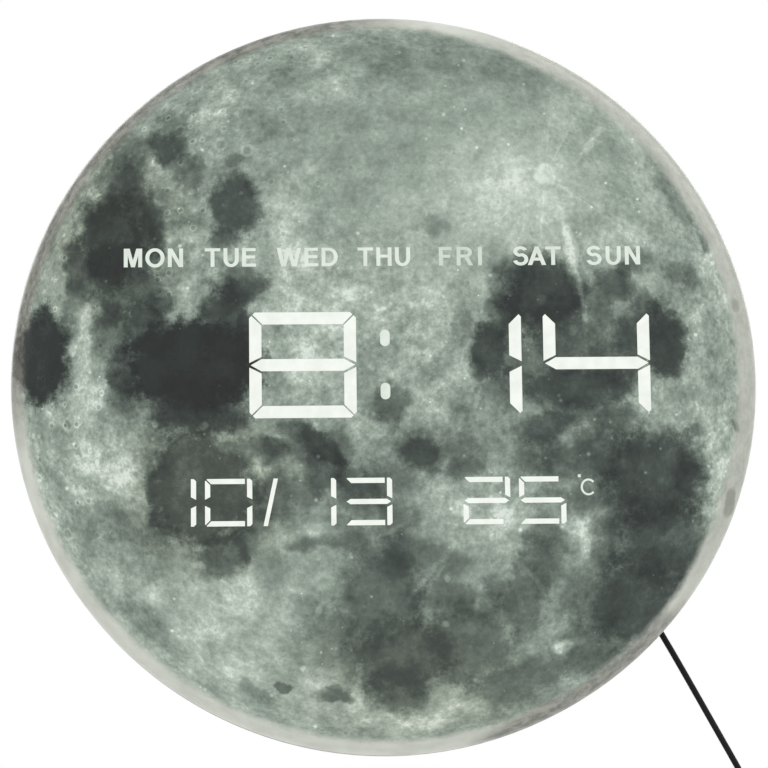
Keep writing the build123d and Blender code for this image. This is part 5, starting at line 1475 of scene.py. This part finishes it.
class CLOCK_OT_works(bpy.types.Operator):
    """Finishes the boards, light boxes and parts inside the case"""

    bl_idname = "clock.works"
    bl_label = "Parts inside"

    def execute(self, context):
        use(self.board_finish(), "display_board", "button_board")
        light_box = plain_finish("light_box", srgb(232, 232, 228), 0.5, 0.9, 0.01, 0.04)
        use(light_box, "time_reflector", "calendar_reflector", "weekday_reflector")
        phosphor = plain_finish("lamp_phosphor", srgb(236, 222, 140), 0.3, 0.5, 0.01, 0.1)
        use(phosphor, "time_lamps", "calendar_lamps", "weekday_lamps")
        chip = plain_finish("chip_package", srgb(34, 34, 36), 0.55, 0.25, 0.012, 0.12)
        use(chip, "controller_chip", "driver_chips", "temperature_sensor")
        black = plain_finish("switch_moulding", srgb(28, 28, 30), 0.35, 0.6, 0.008, 0.1)
        use(black, "buzzer", "switch_bodies", "cell_holder")
        use(black, "set_plunger", "up_plunger", "down_plunger", "alarm_plunger")
        can = plain_finish("drawn_can", srgb(200, 202, 205), 0.28, 0.8, 0.006, 0.08, 1.0)
        use(can, "capacitors", "clock_crystal", "coin_cell")
        use(plain_finish("sprung_brass", srgb(214, 176, 92), 0.3, 0.6, 0.006, 0.1, 1.0), "cell_contact")
        use(plain_finish("wire_sheath", srgb(150, 26, 24), 0.4, 0.7, 0.01, 0.1), "power_wires")
        ribbon = Shader("ribbon_cores", roughness=0.5)
        across = ribbon.split(ribbon.place())[2]
        ridges = (across * RIBBON_CORES).wave()
        # The grooves between the cores are painted darker than the cores' tops: painted shade
        ribbon.set("Base Color", ribbon.blend(ridges.ease(-1.0, 0.4), srgb(110, 112, 116), srgb(170, 172, 176)))
        ribbon.relief(ridges, 0.15)
        use(ribbon.material, "ribbon_cable")
        return {"FINISHED"}

    def board_finish(self):
        """Green solder mask with tracks showing through it."""
        made = Shader("solder_mask", roughness=0.35)
        place = made.place()
        across, _, up = made.split(place)
        lanes = (across * BOARD_TRACKS).wave().ease(0.35, 0.75)
        rows = (up * BOARD_TRACKS).wave().ease(0.35, 0.75)
        which = made.noise(place, 24.0, 1.0).ease(0.49, 0.51)
        tracks = made.noise(place, 17.0, 0.0).ease(0.42, 0.46) * (lanes * which + rows * (1.0 - which))
        made.set("Base Color", made.blend(tracks, srgb(22, 84, 52), srgb(44, 116, 74)))
        made.relief(tracks, 0.03)
        return made.material


class CLOCK_PT_panel(bpy.types.Panel):
    """The clock's settings and the steps that dress it."""

    bl_label = "Lit Wall Clock"
    bl_idname = "CLOCK_PT_panel"
    bl_space_type = "VIEW_3D"
    bl_region_type = "UI"
    bl_category = "Clock"

    def draw(self, context):
        scene = context.scene
        for title, group in (
            ("Display", scene.clock_display),
            ("Finish", scene.clock_finish),
            ("Lead", scene.clock_lead),
            ("Stage", scene.clock_stage),
        ):
            box = self.layout.box()
            box.label(text=title)
            for name in type(group).__annotations__:
                box.prop(group, name)
        for step in STEPS:
            self.layout.operator(step.bl_idname)


GROUPS = {
    "clock_display": ClockDisplay,
    "clock_finish": ClockFinish,
    "clock_lead": ClockLead,
    "clock_stage": ClockStage,
}
# In the order that they are run: unlit figures take the print of the face
STEPS = (
    CLOCK_OT_stage,
    CLOCK_OT_tie,
    CLOCK_OT_lead,
    CLOCK_OT_face,
    CLOCK_OT_figures,
    CLOCK_OT_words,
    CLOCK_OT_cover,
    CLOCK_OT_fixings,
    CLOCK_OT_fittings,
    CLOCK_OT_works,
)


def register():
    for made in (*GROUPS.values(), *STEPS, CLOCK_PT_panel):
        bpy.utils.register_class(made)
    for name, group in GROUPS.items():
        setattr(bpy.types.Scene, name, PointerProperty(type=group))


def unregister():
    for name in GROUPS:
        delattr(bpy.types.Scene, name)
    for made in reversed((*GROUPS.values(), *STEPS, CLOCK_PT_panel)):
        bpy.utils.unregister_class(made)


def main():
    register()
    for step in STEPS:
        family, name = step.bl_idname.split(".")
        getattr(getattr(bpy.ops, family), name)()
    boxes = {"cad": CAD_BOX, "visual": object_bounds()}
    plain = {name: [[float(value) for value in corner] for corner in box] for name, box in boxes.items()}


if __name__ == "__main__":
    main()
